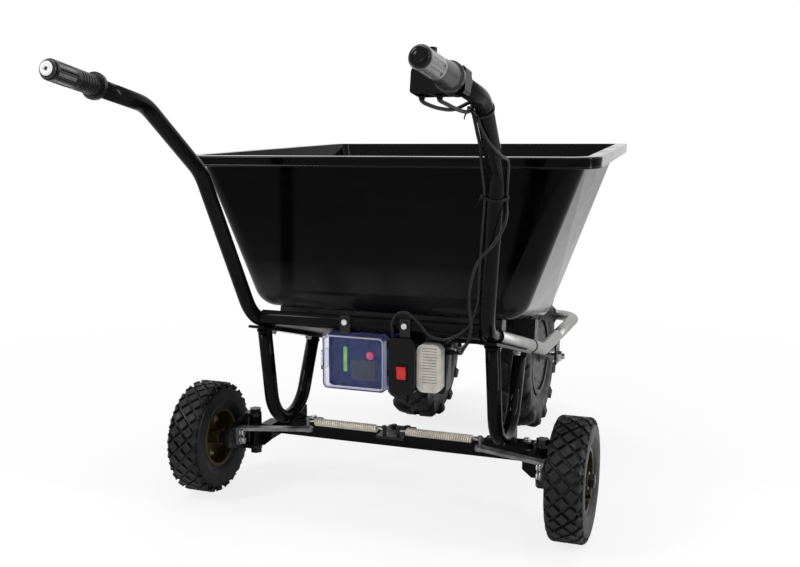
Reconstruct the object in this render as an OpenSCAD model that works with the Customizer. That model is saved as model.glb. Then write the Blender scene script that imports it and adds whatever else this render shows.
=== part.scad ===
/* [Handles] */
// how far the grips end behind the rear wheel line
grip_back = 602; // [450:1:750]
// height of the grip ends
grip_z = 884; // [700:1:1050]
// half the distance between the grip ends
grip_x = 296; // [200:1:400]
// upper bend, behind the rear wheel line
bend_up_back = 342; // [250:1:450]
// upper bend, height
bend_up_z = 842; // [700:1:1000]
// upper bend, half spread
bend_up_x = 309; // [200:1:400]
// middle bend, behind the rear wheel line
bend_mid_back = 187; // [120:1:240]
// middle bend, height
bend_mid_z = 718; // [600:1:800]
// middle bend, half spread
bend_mid_x = 295; // [200:1:400]
// lower bend, behind the rear wheel line
bend_low_back = 79; // [60:1:120]
// handle, rail and hoop tube
handle_d = 30; // [25:1:42]
// bar inside the grips
bar_d = 22; // [18:1:25]
// bend radius of the handle tubes
handle_bend = 85; // [50:1:120]
// grip length
grip_len = 118; // [90:1:150]
// grip outside
grip_d = 34; // [28:1:40]
// hand guard flange on the grip
grip_flange_d = 46; // [38:1:60]
// depth of the ribs on the grip
grip_rib = 1.5; // [0.5:0.1:3]
// control box length along the tube
control_len = 26; // [18:1:40]
// control box width across the tube
control_w = 84; // [60:1:110]
// control box height
control_h = 39; // [36:1:50]
// thumb button
thumb_d = 12; // [8:1:16]
// thumb button stands proud by
thumb_rise = 6; // [3:1:10]

/* [Rails] */
// half the distance between the rails
rail_x = 250; // [200:1:300]
// height of the level part of the rails
rail_z = 276; // [220:1:340]
// where the rails turn level, ahead of the rear wheel line
rail_turn_y = 466; // [380:1:560]
// slope of the rails under the tub
rail_slope = 14.5; // [5:0.5:20]
// front of the hoop, ahead of the rear wheel line
hoop_y = 948; // [820:1:1050]
// where the hoop joins the rails
hoop_joint_y = 640; // [540:1:700]
// bend radius of the hoop corners
hoop_bend = 70; // [50:1:120]
// rear cross tube
cross_d = 30; // [25:1:42]
// rear cross tube, behind the rear wheel line
cross_back = 60; // [30:1:90]
// rear cross tube, height
cross_z = 416; // [380:1:460]

/* [Legs and beam] */
// leg tube
leg_d = 30; // [20:1:34]
// rear leg foot, from the rear wheel line
leg_rear_y = 10; // [-20:1:40]
// front leg foot, from the rear wheel line
leg_front_y = 140; // [110:1:180]
// rear leg top, behind the rear wheel line
leg_top_back = 30; // [10:1:60]
// front leg top, ahead of the rear wheel line
leg_top_y = 222; // [180:1:260]
// height of the leg's lowest tube line
leg_z = 165; // [155:1:190]
// bend radius of the legs
leg_bend = 84; // [40:1:88]
// leg plates
leg_plate = 6; // [4:1:8]
// width of the leg plates
leg_plate_w = 36; // [30:1:50]
// beam, ahead of the rear wheel line
beam_y = 135; // [125:1:160]
// beam depth
beam_w = 30; // [20:1:50]
// beam height
beam_h = 34; // [20:1:50]
// top of the beam
beam_top = 139; // [125:1:145]
// half length of the beam
beam_half = 308; // [280:1:310]

/* [Rear wheels] */
// rear tyre outside
rear_tyre_d = 246; // [200:1:300]
// rear tyre width
rear_tyre_w = 74; // [60:1:100]
// rear rim outside
rear_rim_d = 124; // [100:1:150]
// half the rear track
rear_track_half = 409; // [380:1:450]
// rear stub axle
stub_d = 16; // [12:1:20]
// half the distance between the kingpins
king_x = 333; // [310:1:345]
// kingpins, ahead of the rear wheel line
king_y = 75; // [60:1:90]
// kingpin
king_d = 16; // [12:1:20]
// kingpin sleeve outside
sleeve_d = 28; // [24:1:34]
// bottom of the kingpin sleeve
sleeve_low = 89; // [85:1:110]
// top of the kingpin sleeve
sleeve_top = 156; // [150:1:175]
// knuckle plate
knuckle_t = 7; // [5:1:10]
// spring arm width
arm_w = 20; // [14:1:26]
// spring arm thickness
arm_t = 7; // [5:1:9]
// top of the spring arm
arm_top = 142; // [134:1:148]
// where the springs hook on the arms, from the middle
hook_x = 200; // [170:1:230]
// where the springs hook on the anchor, from the middle
anchor_x = 16; // [12:1:40]
// spring stud
stud_d = 8; // [6:1:10]
// spring axis height
spring_z = 157; // [154:1:170]
// spring outside
spring_d = 18; // [12:1:20]
// spring wire
spring_wire = 4; // [2:0.1:5]
// curls of each spring
spring_curls = 31; // [20:1:45]

/* [Front wheels] */
// front tyre outside
front_tyre_d = 400; // [340:1:420]
// front tyre width
front_tyre_w = 100; // [80:1:130]
// front rim outside
front_rim_d = 210; // [180:1:230]
// half the front track
front_track_half = 145; // [125:1:160]
// front axle, ahead of the rear wheel line
front_y = 738; // [700:1:745]
// front axle
axle_d = 16; // [12:1:20]
// lugs on each side of the tread
lug_count = 14; // [8:1:18]
// lug height
lug_h = 11; // [8:1:20]
// lug thickness
lug_t = 18; // [10:1:22]
// how far the lugs slant
lug_slant = 40; // [20:1:50]
// drop-out plate
drop_t = 6; // [4:1:8]
// drop-out plate width
drop_w = 50; // [40:1:70]
// inner drop-out, from the middle
inner_drop_x = 75; // [60:1:80]
// outer drop-out, from the middle
outer_drop_x = 234; // [215:1:245]
// drop-out plates reach below the axle by
drop_below = 20; // [15:1:30]
// carrier bar
carrier_w = 20; // [16:1:30]
// carrier bar height
carrier_h = 22; // [16:1:30]

/* [Tub] */
// half width of the rim at the back
rim_rear_x = 444; // [380:1:480]
// half width of the rim at the front
rim_front_x = 409; // [340:1:460]
// back of the rim, behind the rear wheel line
rim_back = 30; // [10:1:60]
// front of the rim, ahead of the rear wheel line
rim_front_y = 744; // [640:1:800]
// height of the rim at the back
rim_rear_z = 748; // [680:1:820]
// height of the rim at the front
rim_front_z = 774; // [680:1:840]
// flat width of the rim
rim_w = 25; // [20:1:40]
// turned down lip
lip_h = 20; // [12:1:30]
// wall of the tub
wall = 4; // [2.5:0.5:6]
// corner radius at the top
tub_corner = 32; // [25:1:60]
// radius all round the floor
floor_r = 55; // [40:1:70]
// floor corner centres at the back, half spread
floor_rear_x = 255; // [220:1:280]
// floor corner centres at the back, from the rear wheel line
floor_rear_y = 55; // [50:1:90]
// floor corner centres at the back, height
floor_rear_z = 476; // [470:1:520]
// floor corner centres at the front, half spread
floor_front_x = 220; // [180:1:260]
// floor corner centres at the front, from the rear wheel line
floor_front_y = 450; // [400:1:500]
// floor corner centres at the front, height
floor_front_z = 408; // [395:1:440]
// width of the bearers under the tub
bearer_w = 36; // [24:1:50]
// rear bearer, along the floor
bearer_rear_at = 2; // [0:1:40]
// rear bearer height
bearer_rear_h = 34; // [30:1:44]
// front bearer, along the floor
bearer_front_at = 330; // [300:1:350]
// front bearer height
bearer_front_h = 68; // [60:1:74]

/* [Battery and controller] */
// left side of the battery case, from the middle
case_left = 87; // [70:1:130]
// right side of the battery case, from the middle
case_right = 46; // [30:1:60]
// bottom of the case
case_low = 281; // [270:1:310]
// top of the case
case_top = 397; // [375:1:398]
// front of the case, ahead of the rear wheel line
case_front = 120; // [80:1:160]
// mouth of the case, behind the rear wheel line
case_back = 57; // [40:1:70]
// case wall
case_wall = 4; // [3:0.5:6]
// lid depth
lid_deep = 25; // [15:1:40]
// lid wall
lid_wall = 3; // [2:0.5:4]
// hinge pin line of the lid, right of the case
hinge_off = 5; // [4:1:8]
// lid hinge knuckle
hinge_d = 6; // [4:1:8]
// switch box, right of the hinge pin line
control_off = 4; // [4:1:12]
// switch box width
control_wide = 54; // [40:1:70]
// rear face of the switch box, behind the rear wheel line
control_back = 86; // [70:1:95]
// switch box depth
rear_cap = 34; // [20:1:50]
// housing depth, ahead of the switch box
control_deep = 36; // [30:1:80]
// corner radius of the cases
case_r = 11; // [5:1:14]
// finned plate width
heat_w = 50; // [40:1:70]
// finned plate, ahead of the switch box face
heat_step = 10; // [6:1:16]
// corner radius of the finned plate
heat_r = 14; // [6:1:20]
// grooves in the finned plate
fin_count = 13; // [6:1:16]
// groove depth
fin_deep = 2; // [1:0.5:5]
// groove width
fin_t = 1.5; // [1:0.5:4]
// rocker switch width
rocker_w = 20; // [14:1:26]
// rocker switch height
rocker_h = 28; // [20:1:36]
// rocker stands proud by
rocker_rise = 4; // [2:0.5:6]
// frame round the rocker
bezel_rim = 3; // [2:0.5:5]
// rocker middle height
rocker_z = 328; // [310:1:360]
// hanger plate
hanger_t = 3; // [2:0.5:5]
// hanger width
hanger_w = 22; // [16:1:30]
// left hanger, from the middle
hanger_left = 41; // [30:1:80]
// right hanger, from the middle
hanger_right = 86; // [70:1:96]

/* [Leads and fasteners] */
// lead
lead_d = 6; // [4:0.5:8]
// motor lead
motor_lead_d = 8; // [6:0.5:10]
// tie thickness
tie_t = 1.6; // [1:0.1:3]
// tie width
tie_w = 5; // [3:0.5:8]
// bolt
bolt_d = 8; // [6:1:10]
// bolt head across flats
bolt_af = 13; // [10:1:17]
// bolt head height
bolt_h = 5.5; // [4:0.5:8]
// big nut across flats
nut_af = 24; // [18:1:30]
// big nut height
nut_h = 10; // [8:1:14]
// running clearance
fit = 0.05; // [0.02:0.01:0.1]
// seat gap between pieces that touch
seat = 0.2; // [0.1:0.05:0.3]
// clear space round moving pieces
free_gap = 1; // [0.5:0.1:2]

/* [Hidden] */
$fn = 48;

// how far cuts run past what they cut
over = 2;
// sides of a swept tube
tube_sides = 20;
// sides of a swept lead
lead_sides = 8;
// steps in a bend
bend_steps = 7;
// sides of spheres and rounds in a hull
hull_fn = 32;

// colours
gloss_black = [0.04, 0.04, 0.045];
dark_steel = [0.12, 0.12, 0.13];
galvanised = [0.62, 0.63, 0.65];
zinc = [0.75, 0.75, 0.77];
rubber = [0.08, 0.08, 0.08];
brass = [0.72, 0.56, 0.22];
tan_steel = [0.66, 0.55, 0.4];
navy = [0.06, 0.1, 0.3];
clear = [0.8, 0.88, 0.95, 0.4];
beige = [0.72, 0.69, 0.64];
red = [0.85, 0.1, 0.08];
green = [0.2, 0.65, 0.25];

// the part stands with the middle of its length over the origin
rail_d = handle_d;
cap_t = bar_d * 0.36;
cap_tilt = (grip_z - bend_up_z) / (bend_up_back - grip_back);
cap_out = (cap_t + grip_d * 0.43 * abs(cap_tilt)) * cos(atan(cap_tilt));
mid_y = (hoop_y + rail_d / 2 - grip_back - cap_out) / 2;
rear_axle_z = rear_tyre_d / 2;
front_axle_z = front_tyre_d / 2;
rail_tan = tan(rail_slope);
function rail_height(y) = rail_z + (rail_turn_y - y) * rail_tan;

// points of the handle tube on the right
grip_end = [grip_x, -grip_back, grip_z];
bend_up = [bend_up_x, -bend_up_back, bend_up_z];
bend_mid = [bend_mid_x, -bend_mid_back, bend_mid_z];
bend_low = [rail_x, -bend_low_back, rail_height(-bend_low_back)];
handle_foot = [rail_x, 0, rail_height(0)];
rail_turn = [rail_x, rail_turn_y, rail_z];
hoop_joint = [rail_x, hoop_joint_y, rail_z];
hoop_corner = [rail_x, hoop_y, rail_z];
grip_dir = unit(bend_up - grip_end);
down_dir = unit(bend_low - bend_mid);
fore_dir = unit(bend_mid - bend_up);

function unit(v) = v / norm(v);

// a line of points with every corner turned into an arc
function arc_at(p, r, i, n) =
  let (a = unit(p[i] - p[i - 1]), b = unit(p[i + 1] - p[i]), w = acos(a * b))
  let (c = p[i] + unit(b - a) * r / cos(w / 2), s = unit(p[i] - a * r * tan(w / 2) - c))
  [for (k = [0:n]) c + r * (s * cos(w * k / n) + a * sin(w * k / n))];
function rounded_path(p, r, n) = concat(
  [p[0]],
  [for (i = [1:len(p) - 2]) for (q = arc_at(p, r[i], i, n)) q],
  [p[len(p) - 1]]);

// smooth points through a hand-drawn route
function mix(a, b, c, d, t) = 0.5 * (2 * b + (c - a) * t + (2 * a - 5 * b + 4 * c - d) * t * t
  + (3 * b - a - 3 * c + d) * t * t * t);
function pick(p, i) = p[max(0, min(len(p) - 1, i))];
function smooth_route(p, n) = concat(
  [for (i = [0:len(p) - 2]) for (k = [0:n - 1])
    mix(pick(p, i - 1), p[i], p[i + 1], pick(p, i + 2), k / n)],
  [p[len(p) - 1]]);

// directions along a route, and a side vector carried along it
function heading(p, i) = i == 0 ? unit(p[1] - p[0])
  : i == len(p) - 1 ? unit(p[i] - p[i - 1])
  : unit(unit(p[i] - p[i - 1]) + unit(p[i + 1] - p[i]));
function any_side(t) = unit(cross(t, abs(t[2]) < 0.8 ? [0, 0, 1] : [1, 0, 0]));
function carried(p, i, s, done) = i >= len(p) ? done
  : let (t = heading(p, i), n = unit(s - (s * t) * t)) carried(p, i + 1, n, concat(done, [n]));

// one closed tube swept along points
module swept(p, d, sides) {
  n = len(p);
  side = carried(p, 0, any_side(heading(p, 0)), []);
  pts = [for (i = [0:n - 1])
    let (t = heading(p, i), a = side[i], b = cross(t, a))
    for (k = [0:sides - 1])
      p[i] + d / 2 * (a * cos(360 * k / sides) + b * sin(360 * k / sides))];
  skin = [for (i = [0:n - 2]) for (k = [0:sides - 1])
    [i * sides + k, i * sides + (k + 1) % sides, (i + 1) * sides + (k + 1) % sides, (i + 1) * sides + k]];
  first = [[for (k = [0:sides - 1]) sides - 1 - k]];
  last = [[for (k = [0:sides - 1]) (n - 1) * sides + k]];
  all_faces = concat(skin, first, last);
  polyhedron(points = pts, faces = [for (f = all_faces) [for (j = [len(f) - 1:-1:0]) f[j]]]);
}

module placed() {
  translate([0, -mid_y, 0]) children();
}

// right side as drawn, left side as its mirror image
module sided(s) {
  placed() if (s > 0) children(); else mirror([1, 0, 0]) children();
}

// local z runs along a direction from a point
module aimed(p, v) {
  translate(p) rotate([0, acos(v[2] / norm(v)), atan2(v[1], v[0])]) children();
}

// local y runs down along the sloping rail from its bend, local z stands square to it
module on_rail(x) {
  translate([x, rail_turn_y, rail_z]) rotate([-rail_slope, 0, 0]) children();
}
function along_rail(y) = (y - rail_turn_y) / cos(rail_slope);

// local z = 0 is the underside of the tub floor
floor_angle = atan((floor_rear_z - floor_front_z) / (floor_front_y - floor_rear_y));
module under_floor() {
  translate([0, floor_rear_y, floor_rear_z]) rotate([-floor_angle, 0, 0])
    translate([0, 0, -floor_r]) children();
}

module block(a, b) {
  translate(a) cube(b - a);
}

module hexagon(af, h) {
  cylinder(h = h, d = af / cos(30), $fn = 6);
}

// a bolt head with its washer, standing on z = 0
module bolt_head() {
  cylinder(h = bolt_h * 0.3, d = bolt_af * 1.35);
  hexagon(bolt_af, bolt_h);
}

module rounded_square(w, h, r) {
  square([w - 2 * r, h], center = true);
  square([w, h - 2 * r], center = true);
  for (i = [-1, 1]) for (j = [-1, 1]) translate([i * (w / 2 - r), j * (h / 2 - r)]) circle(r = r);
}

// a box with rounded long edges, running along y
module long_box(x0, x1, y0, y1, z0, z1, r) {
  translate([(x0 + x1) / 2, y1, (z0 + z1) / 2]) rotate([90, 0, 0])
    linear_extrude(height = y1 - y0) rounded_square(x1 - x0, z1 - z0, r);
}

// handles
module handle(s) {
  color(gloss_black) sided(s) {
    swept(rounded_path([grip_end + grip_dir * (grip_len + over), bend_up, bend_mid, bend_low, handle_foot],
      [0, handle_bend, handle_bend, handle_bend * 0.9, 0], bend_steps), handle_d, tube_sides);
    aimed(grip_end, grip_dir) cylinder(h = grip_len + over * 2, d = bar_d);
  }
}
module handle_left() {
  handle(-1);
}
module handle_right() {
  handle(1);
}

module rear_cross_tube() {
  color(gloss_black) placed() difference() {
    translate([-rail_x, -cross_back, cross_z]) rotate([0, 90, 0]) cylinder(h = rail_x * 2, d = cross_d);
    for (s = [-1, 1]) scale_side(s) handle_space();
  }
}
module scale_side(s) {
  mirror([s > 0 ? 0 : 1, 0, 0]) children();
}
// the room that the lower handle tube takes, cut square
module handle_space() {
  block([rail_x - handle_d / 2 - seat, -cross_back - cross_d, cross_z - cross_d],
    [rail_x + handle_d, -cross_back + cross_d, cross_z + cross_d]);
}

// rails and hoop
module rail(s) {
  color(galvanised) sided(s)
    swept(rounded_path([[rail_x, seat, rail_height(seat)], rail_turn, hoop_joint - [0, seat, 0]],
      [0, rail_d * 1.1, 0], bend_steps), rail_d, tube_sides);
}
module rail_left() {
  rail(-1);
}
module rail_right() {
  rail(1);
}
module front_hoop() {
  color(galvanised) placed()
    swept(rounded_path([hoop_joint, hoop_corner, [-rail_x, hoop_y, rail_z], [-rail_x, hoop_joint_y, rail_z]],
      [0, hoop_bend, hoop_bend, 0], bend_steps + 1), rail_d, tube_sides);
}

// legs
leg_low = rail_d / 2 + seat;
module leg(s) {
  top_rear = [rail_x, -leg_top_back, rail_height(-leg_top_back)];
  top_front = [rail_x, leg_top_y, rail_height(leg_top_y)];
  color(gloss_black) sided(s) {
    difference() {
      swept(rounded_path([top_rear, [rail_x, leg_rear_y, leg_z], [rail_x, leg_front_y, leg_z], top_front],
        [0, leg_bend, leg_bend, 0], bend_steps + 1), leg_d, tube_sides);
      on_rail(rail_x) block([-leg_d, along_rail(-leg_top_back - leg_d * 2), -leg_low - leg_plate / 2],
        [leg_d, along_rail(leg_top_y + leg_d * 2), rail_d]);
    }
    on_rail(rail_x) block([-leg_plate_w / 2, along_rail(-leg_top_back - leg_d), -leg_low - leg_plate],
      [leg_plate_w / 2, along_rail(leg_top_y + leg_d), -leg_low]);
    foot();
  }
}
foot_half = leg_plate_w * 1.5;
module foot() {
  block([rail_x - foot_half, beam_y - beam_w / 2, beam_top + seat],
    [rail_x + foot_half, beam_y + beam_w / 2, beam_top + seat + leg_plate]);
  block([rail_x - leg_d * 0.4, beam_y - beam_w / 2, beam_top + seat + leg_plate],
    [rail_x + leg_d * 0.4, beam_y + beam_w / 2, leg_z + leg_d / 4]);
}
module leg_left() {
  leg(-1);
}
module leg_right() {
  leg(1);
}

// rear beam with the kingpin sleeves
module beam_end() {
  web = knuckle_t + free_gap;
  difference() {
    union() {
      translate([king_x, king_y, sleeve_low]) cylinder(h = sleeve_top - sleeve_low, d = sleeve_d);
      block([king_x - sleeve_d * 1.5, king_y - web / 2, beam_top - beam_h],
        [king_x, king_y + web / 2, beam_top]);
      block([king_x - sleeve_d * 1.5, king_y - web / 2, beam_top - beam_h],
        [king_x - sleeve_d / 2, beam_y - beam_w / 2 + over, beam_top]);
      translate([0, king_y + web / 2, 0]) rotate([90, 0, 0]) linear_extrude(height = web)
        polygon([[king_x - sleeve_d * 1.5, beam_top - beam_h], [king_x - sleeve_d * 0.8, sleeve_low],
          [king_x, sleeve_low], [king_x, beam_top - beam_h]]);
    }
    translate([king_x, king_y, sleeve_low - over])
      cylinder(h = sleeve_top - sleeve_low + over * 2, d = king_d + fit * 2);
  }
}
module rear_beam() {
  color(dark_steel) placed() {
    block([-beam_half, beam_y - beam_w / 2, beam_top - beam_h], [beam_half, beam_y + beam_w / 2, beam_top]);
    for (s = [-1, 1]) scale_side(s) beam_end();
  }
}
anchor_t = leg_plate;
module spring_anchor() {
  color(dark_steel) placed() {
    block([-anchor_x * 2, king_y - stud_d * 1.5, beam_top + seat],
      [anchor_x * 2, beam_y + beam_w / 2, beam_top + seat + anchor_t]);
    for (s = [-1, 1]) translate([s * anchor_x, king_y, beam_top + seat]) {
      cylinder(h = spring_z + stud_d - beam_top, d = stud_d);
      translate([0, 0, spring_z + stud_d * 0.4 - beam_top]) cylinder(h = stud_d * 0.6, d = stud_d * 1.3);
    }
    for (s = [-1, 1]) translate([s * anchor_x, beam_y, beam_top + seat + anchor_t]) bolt_head();
  }
}

// knuckle: two lugs, a plate and the stub axle, with the kingpin bolt in it
knuckle_in = king_x + sleeve_d / 2 + free_gap * 3;
module knuckle(s) {
  lug_top = sleeve_top + free_gap;
  lug_low = sleeve_low - free_gap;
  color(dark_steel) sided(s) {
    difference() {
      translate([knuckle_in, 0, 0]) rotate([90, 0, 90]) linear_extrude(height = knuckle_t)
        polygon([[-stub_d * 1.3, rear_axle_z - stub_d], [king_y - sleeve_d / 2, lug_low - knuckle_t],
          [king_y + sleeve_d / 2, lug_low - knuckle_t], [king_y + sleeve_d / 2, lug_top + knuckle_t],
          [king_y - sleeve_d / 2, lug_top + knuckle_t], [-stub_d * 1.3, rear_axle_z + stub_d]]);
      translate([knuckle_in - over, king_y / 2, rear_axle_z + stub_d * 0.9]) rotate([0, 90, 0])
        cylinder(h = knuckle_t + over * 2, d = stub_d * 0.8);
    }
    for (z = [lug_low - knuckle_t, lug_top]) {
      block([king_x, king_y - sleeve_d / 2, z],
        [knuckle_in + knuckle_t / 2, king_y + sleeve_d / 2, z + knuckle_t]);
      translate([king_x, king_y, z]) cylinder(h = knuckle_t, d = sleeve_d);
    }
    translate([king_x, king_y, lug_low - knuckle_t])
      cylinder(h = lug_top - lug_low + knuckle_t * 2, d = king_d);
    translate([king_x, king_y, lug_top + knuckle_t]) hexagon(nut_af, nut_h);
    translate([king_x, king_y, lug_low - knuckle_t - nut_h]) hexagon(nut_af, nut_h);
    translate([knuckle_in + knuckle_t / 2, 0, rear_axle_z]) rotate([0, 90, 0])
      cylinder(h = stub_out - knuckle_in - knuckle_t / 2 + nut_h + over, d = stub_d);
    translate([knuckle_in + knuckle_t / 2, 0, rear_axle_z]) rotate([0, 90, 0])
      cylinder(h = hub_in - free_gap - knuckle_in - knuckle_t / 2, d = stub_d * 1.6);
    translate([stub_out + free_gap, 0, rear_axle_z]) rotate([0, 90, 0]) hexagon(nut_af, nut_h);
  }
}
hub_half = rear_tyre_w * 0.42;
hub_in = rear_track_half - hub_half;
stub_out = rear_track_half + hub_half;
module knuckle_left() {
  knuckle(-1);
}
module knuckle_right() {
  knuckle(1);
}

// flat arm from the knuckle to the spring hook, a little thicker at both ends
eye_share = 0.15;
arm_foot = [knuckle_in - arm_t / 2 - seat, king_y * 0.36];
module spring_arm(s) {
  v = [hook_x, king_y] - arm_foot;
  color(zinc) sided(s) {
    translate([arm_foot[0], arm_foot[1], arm_top - arm_t]) rotate([0, 0, atan2(v[1], v[0])])
      block([0, -arm_w / 2, 0], [norm(v), arm_w / 2, arm_t]);
    translate([hook_x, king_y, arm_top - arm_t * (1 + eye_share)])
      cylinder(h = arm_t * (1 + eye_share * 2), d = arm_w * 1.15);
    translate([hook_x, king_y, arm_top - arm_t])
      cylinder(h = spring_z + stud_d - arm_top + arm_t, d = stud_d);
    translate([hook_x, king_y, spring_z + stud_d * 0.4]) cylinder(h = stud_d * 0.6, d = stud_d * 1.3);
    block([knuckle_in - arm_t - seat, arm_foot[1] - arm_w * 0.75, rear_axle_z - arm_w * 0.9],
      [knuckle_in - seat, arm_foot[1] + arm_w * 0.75, arm_top + arm_t * eye_share]);
    for (z = [rear_axle_z - arm_w * 0.4, rear_axle_z + arm_w * 0.4])
      translate([knuckle_in - arm_t - seat, arm_foot[1] - arm_w * 0.3, z]) rotate([0, -90, 0]) bolt_head();
  }
}
module spring_arm_left() {
  spring_arm(-1);
}
module spring_arm_right() {
  spring_arm(1);
}

// return spring: one wire, straight at both ends, wound between
spring_end = spring_d * 0.55;
spring_from = hook_x - stud_d / 2 - seat;
spring_to = anchor_x + stud_d / 2 + seat;
coil_from = spring_from - spring_end - spring_wire;
coil_to = spring_to + spring_end + spring_wire;
coil_pitch = (coil_from - coil_to) / spring_curls;
coil_r = (spring_d - spring_wire) / 2;
coil_rings = 8;
function coil_point(k) = let (n = spring_curls * coil_rings)
  [coil_from - (coil_from - coil_to) * k / n, king_y + coil_r * cos(360 * k / coil_rings),
    spring_z + coil_r * sin(360 * k / coil_rings)];
spring_points = concat(
  [[spring_from, king_y, spring_z], [spring_from - spring_wire, king_y, spring_z],
    [spring_from - spring_end, king_y + coil_r * 0.6, spring_z]],
  [for (k = [0:spring_curls * coil_rings]) coil_point(k)],
  [[spring_to + spring_end, king_y + coil_r * 0.6, spring_z], [spring_to + spring_wire, king_y, spring_z],
    [spring_to, king_y, spring_z]]);
spring_least = min([for (k = [0:spring_curls * coil_rings - coil_rings])
  norm(coil_point(k) - coil_point(k + coil_rings))]) - spring_wire;
echo(spring_least_gap = spring_least);
module return_spring(s) {
  color(tan_steel) sided(s) swept(spring_points, spring_wire, 6);
}
module return_spring_left() {
  return_spring(-1);
}
module return_spring_right() {
  return_spring(1);
}

// tyres: radial share and half width share of the section
section_shares = [[0, 0.62], [0.08, 0.8], [0.3, 0.96], [0.5, 1], [0.76, 0.99], [0.91, 0.93], [0.975, 0.83],
  [1, 0.68], [1, -0.68], [0.975, -0.83], [0.91, -0.93], [0.76, -0.99], [0.5, -1], [0.3, -0.96], [0.08, -0.8],
  [0, -0.62]];
module tyre(ro, ri, w) {
  rotate([0, 90, 0]) rotate_extrude()
    polygon([for (p = section_shares) [ri + (ro - ri) * p[0], w / 2 * p[1]]]);
}
module rear_tyre(s) {
  color(rubber) sided(s) translate([rear_track_half, 0, rear_axle_z])
    tyre(rear_tyre_d / 2, rear_rim_d / 2 + seat, rear_tyre_w);
}
module rear_tyre_left() {
  rear_tyre(-1);
}
module rear_tyre_right() {
  rear_tyre(1);
}
// rim: hub, dished disc and barrel turned from one section
module rear_rim(s) {
  r = rear_rim_d / 2;
  hw = rear_tyre_w * 0.4;
  t = wall;
  color(brass) sided(s) translate([rear_track_half, 0, rear_axle_z]) rotate([0, 90, 0]) difference() {
    rotate_extrude() polygon([[stub_d / 2 + fit, -hub_half], [stub_d * 1.1, -hub_half], [stub_d * 1.1, -t],
      [r - t, -t], [r - t, -hw], [r + t * 0.9, -hw], [r + t * 0.9, -hw + t * 0.4], [r, -hw + t],
      [r, hw - t], [r + t * 0.9, hw - t * 0.4], [r + t * 0.9, hw], [r - t, hw], [r - t, t],
      [stub_d * 1.1, t], [stub_d * 1.1, hub_half], [stub_d / 2 + fit, hub_half]]);
    for (k = [0:4]) rotate([0, 0, 72 * k]) translate([r * 0.62, 0, -t - over])
      cylinder(h = t * 2 + over * 2, d = r * 0.28);
  }
}
module rear_rim_left() {
  rear_rim(-1);
}
module rear_rim_right() {
  rear_rim(1);
}

// front tyre with slanted lugs in two rows
module lug() {
  ro = front_tyre_d / 2;
  long = front_tyre_w * 0.62;
  reach = sqrt(ro * ro - long * long * 0.16) - lug_h;
  translate([front_tyre_w * 0.04, 0, reach]) rotate([0, 0, lug_slant])
    translate([0, -lug_t / 2, -lug_h]) cube([long, lug_t, lug_h * 2]);
}
module front_tyre(s) {
  ro = front_tyre_d / 2 - lug_h;
  color(rubber) sided(s) translate([front_track_half, 0, 0] + [0, front_y, front_axle_z]) {
    tyre(ro, front_rim_d / 2 + seat, front_tyre_w);
    intersection() {
      rotate([0, 90, 0]) cylinder(h = front_tyre_w, d = front_tyre_d, center = true);
      for (k = [0:lug_count - 1]) for (m = [0, 1])
        rotate([360 * (k + m / 2) / lug_count, 0, 0]) mirror([m, 0, 0]) lug();
    }
  }
}
module front_tyre_left() {
  front_tyre(-1);
}
module front_tyre_right() {
  front_tyre(1);
}
// hub motor: drum, covers and rim flanges turned from one section
module front_hub(s) {
  r = front_rim_d / 2;
  hb = front_tyre_w * 0.41;
  hw = hb + wall;
  t = wall;
  at = [front_track_half, front_y, front_axle_z];
  color(dark_steel) sided(s) translate(at) rotate([0, 90, 0]) difference() {
    rotate_extrude() polygon([[axle_d / 2 + fit, -hw], [axle_d * 1.2, -hw], [axle_d * 1.4, -hb],
      [r * 0.86, -hb], [r * 0.92, -hb + t], [r * 0.92, -hb - t], [r + t, -hb - t], [r + t, -hb],
      [r, -hb + t], [r, hb - t], [r + t, hb], [r + t, hb + t], [r * 0.92, hb + t],
      [r * 0.92, hb - t], [r * 0.86, hb], [axle_d * 1.4, hb], [axle_d * 1.2, hw],
      [axle_d / 2 + fit, hw]]);
    for (k = [0:7]) for (m = [-1, 1]) rotate([0, 0, 45 * k]) translate([r * 0.74, 0, m * hb])
      cylinder(h = t, d = bolt_d, center = true);
  }
}
module front_hub_left() {
  front_hub(-1);
}
module front_hub_right() {
  front_hub(1);
}

// fixed axles with spacers and nuts
hub_clear = front_tyre_w / 2 - free_gap * 4;
module axle(s) {
  at = [0, front_y, front_axle_z];
  inner = inner_drop_x - drop_t / 2 - seat;
  outer = outer_drop_x + drop_t / 2 + seat;
  color(zinc) sided(s) {
    translate(at + [inner - nut_h * 1.7, 0, 0]) rotate([0, 90, 0])
      cylinder(h = outer - inner + nut_h * 3.5, d = axle_d);
    translate(at + [inner - nut_h, 0, 0]) rotate([0, 90, 0]) hexagon(nut_af, nut_h);
    translate(at + [outer, 0, 0]) rotate([0, 90, 0]) hexagon(nut_af, nut_h);
    translate(at + [inner_drop_x + drop_t / 2 + seat, 0, 0]) rotate([0, 90, 0])
      cylinder(h = front_track_half - hub_clear - inner_drop_x - drop_t / 2 - seat, d = axle_d * 1.7);
    translate(at + [front_track_half + hub_clear, 0, 0]) rotate([0, 90, 0])
      cylinder(h = outer_drop_x - drop_t / 2 - seat - front_track_half - hub_clear, d = axle_d * 1.7);
  }
}
module axle_left() {
  axle(-1);
}
module axle_right() {
  axle(1);
}

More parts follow.
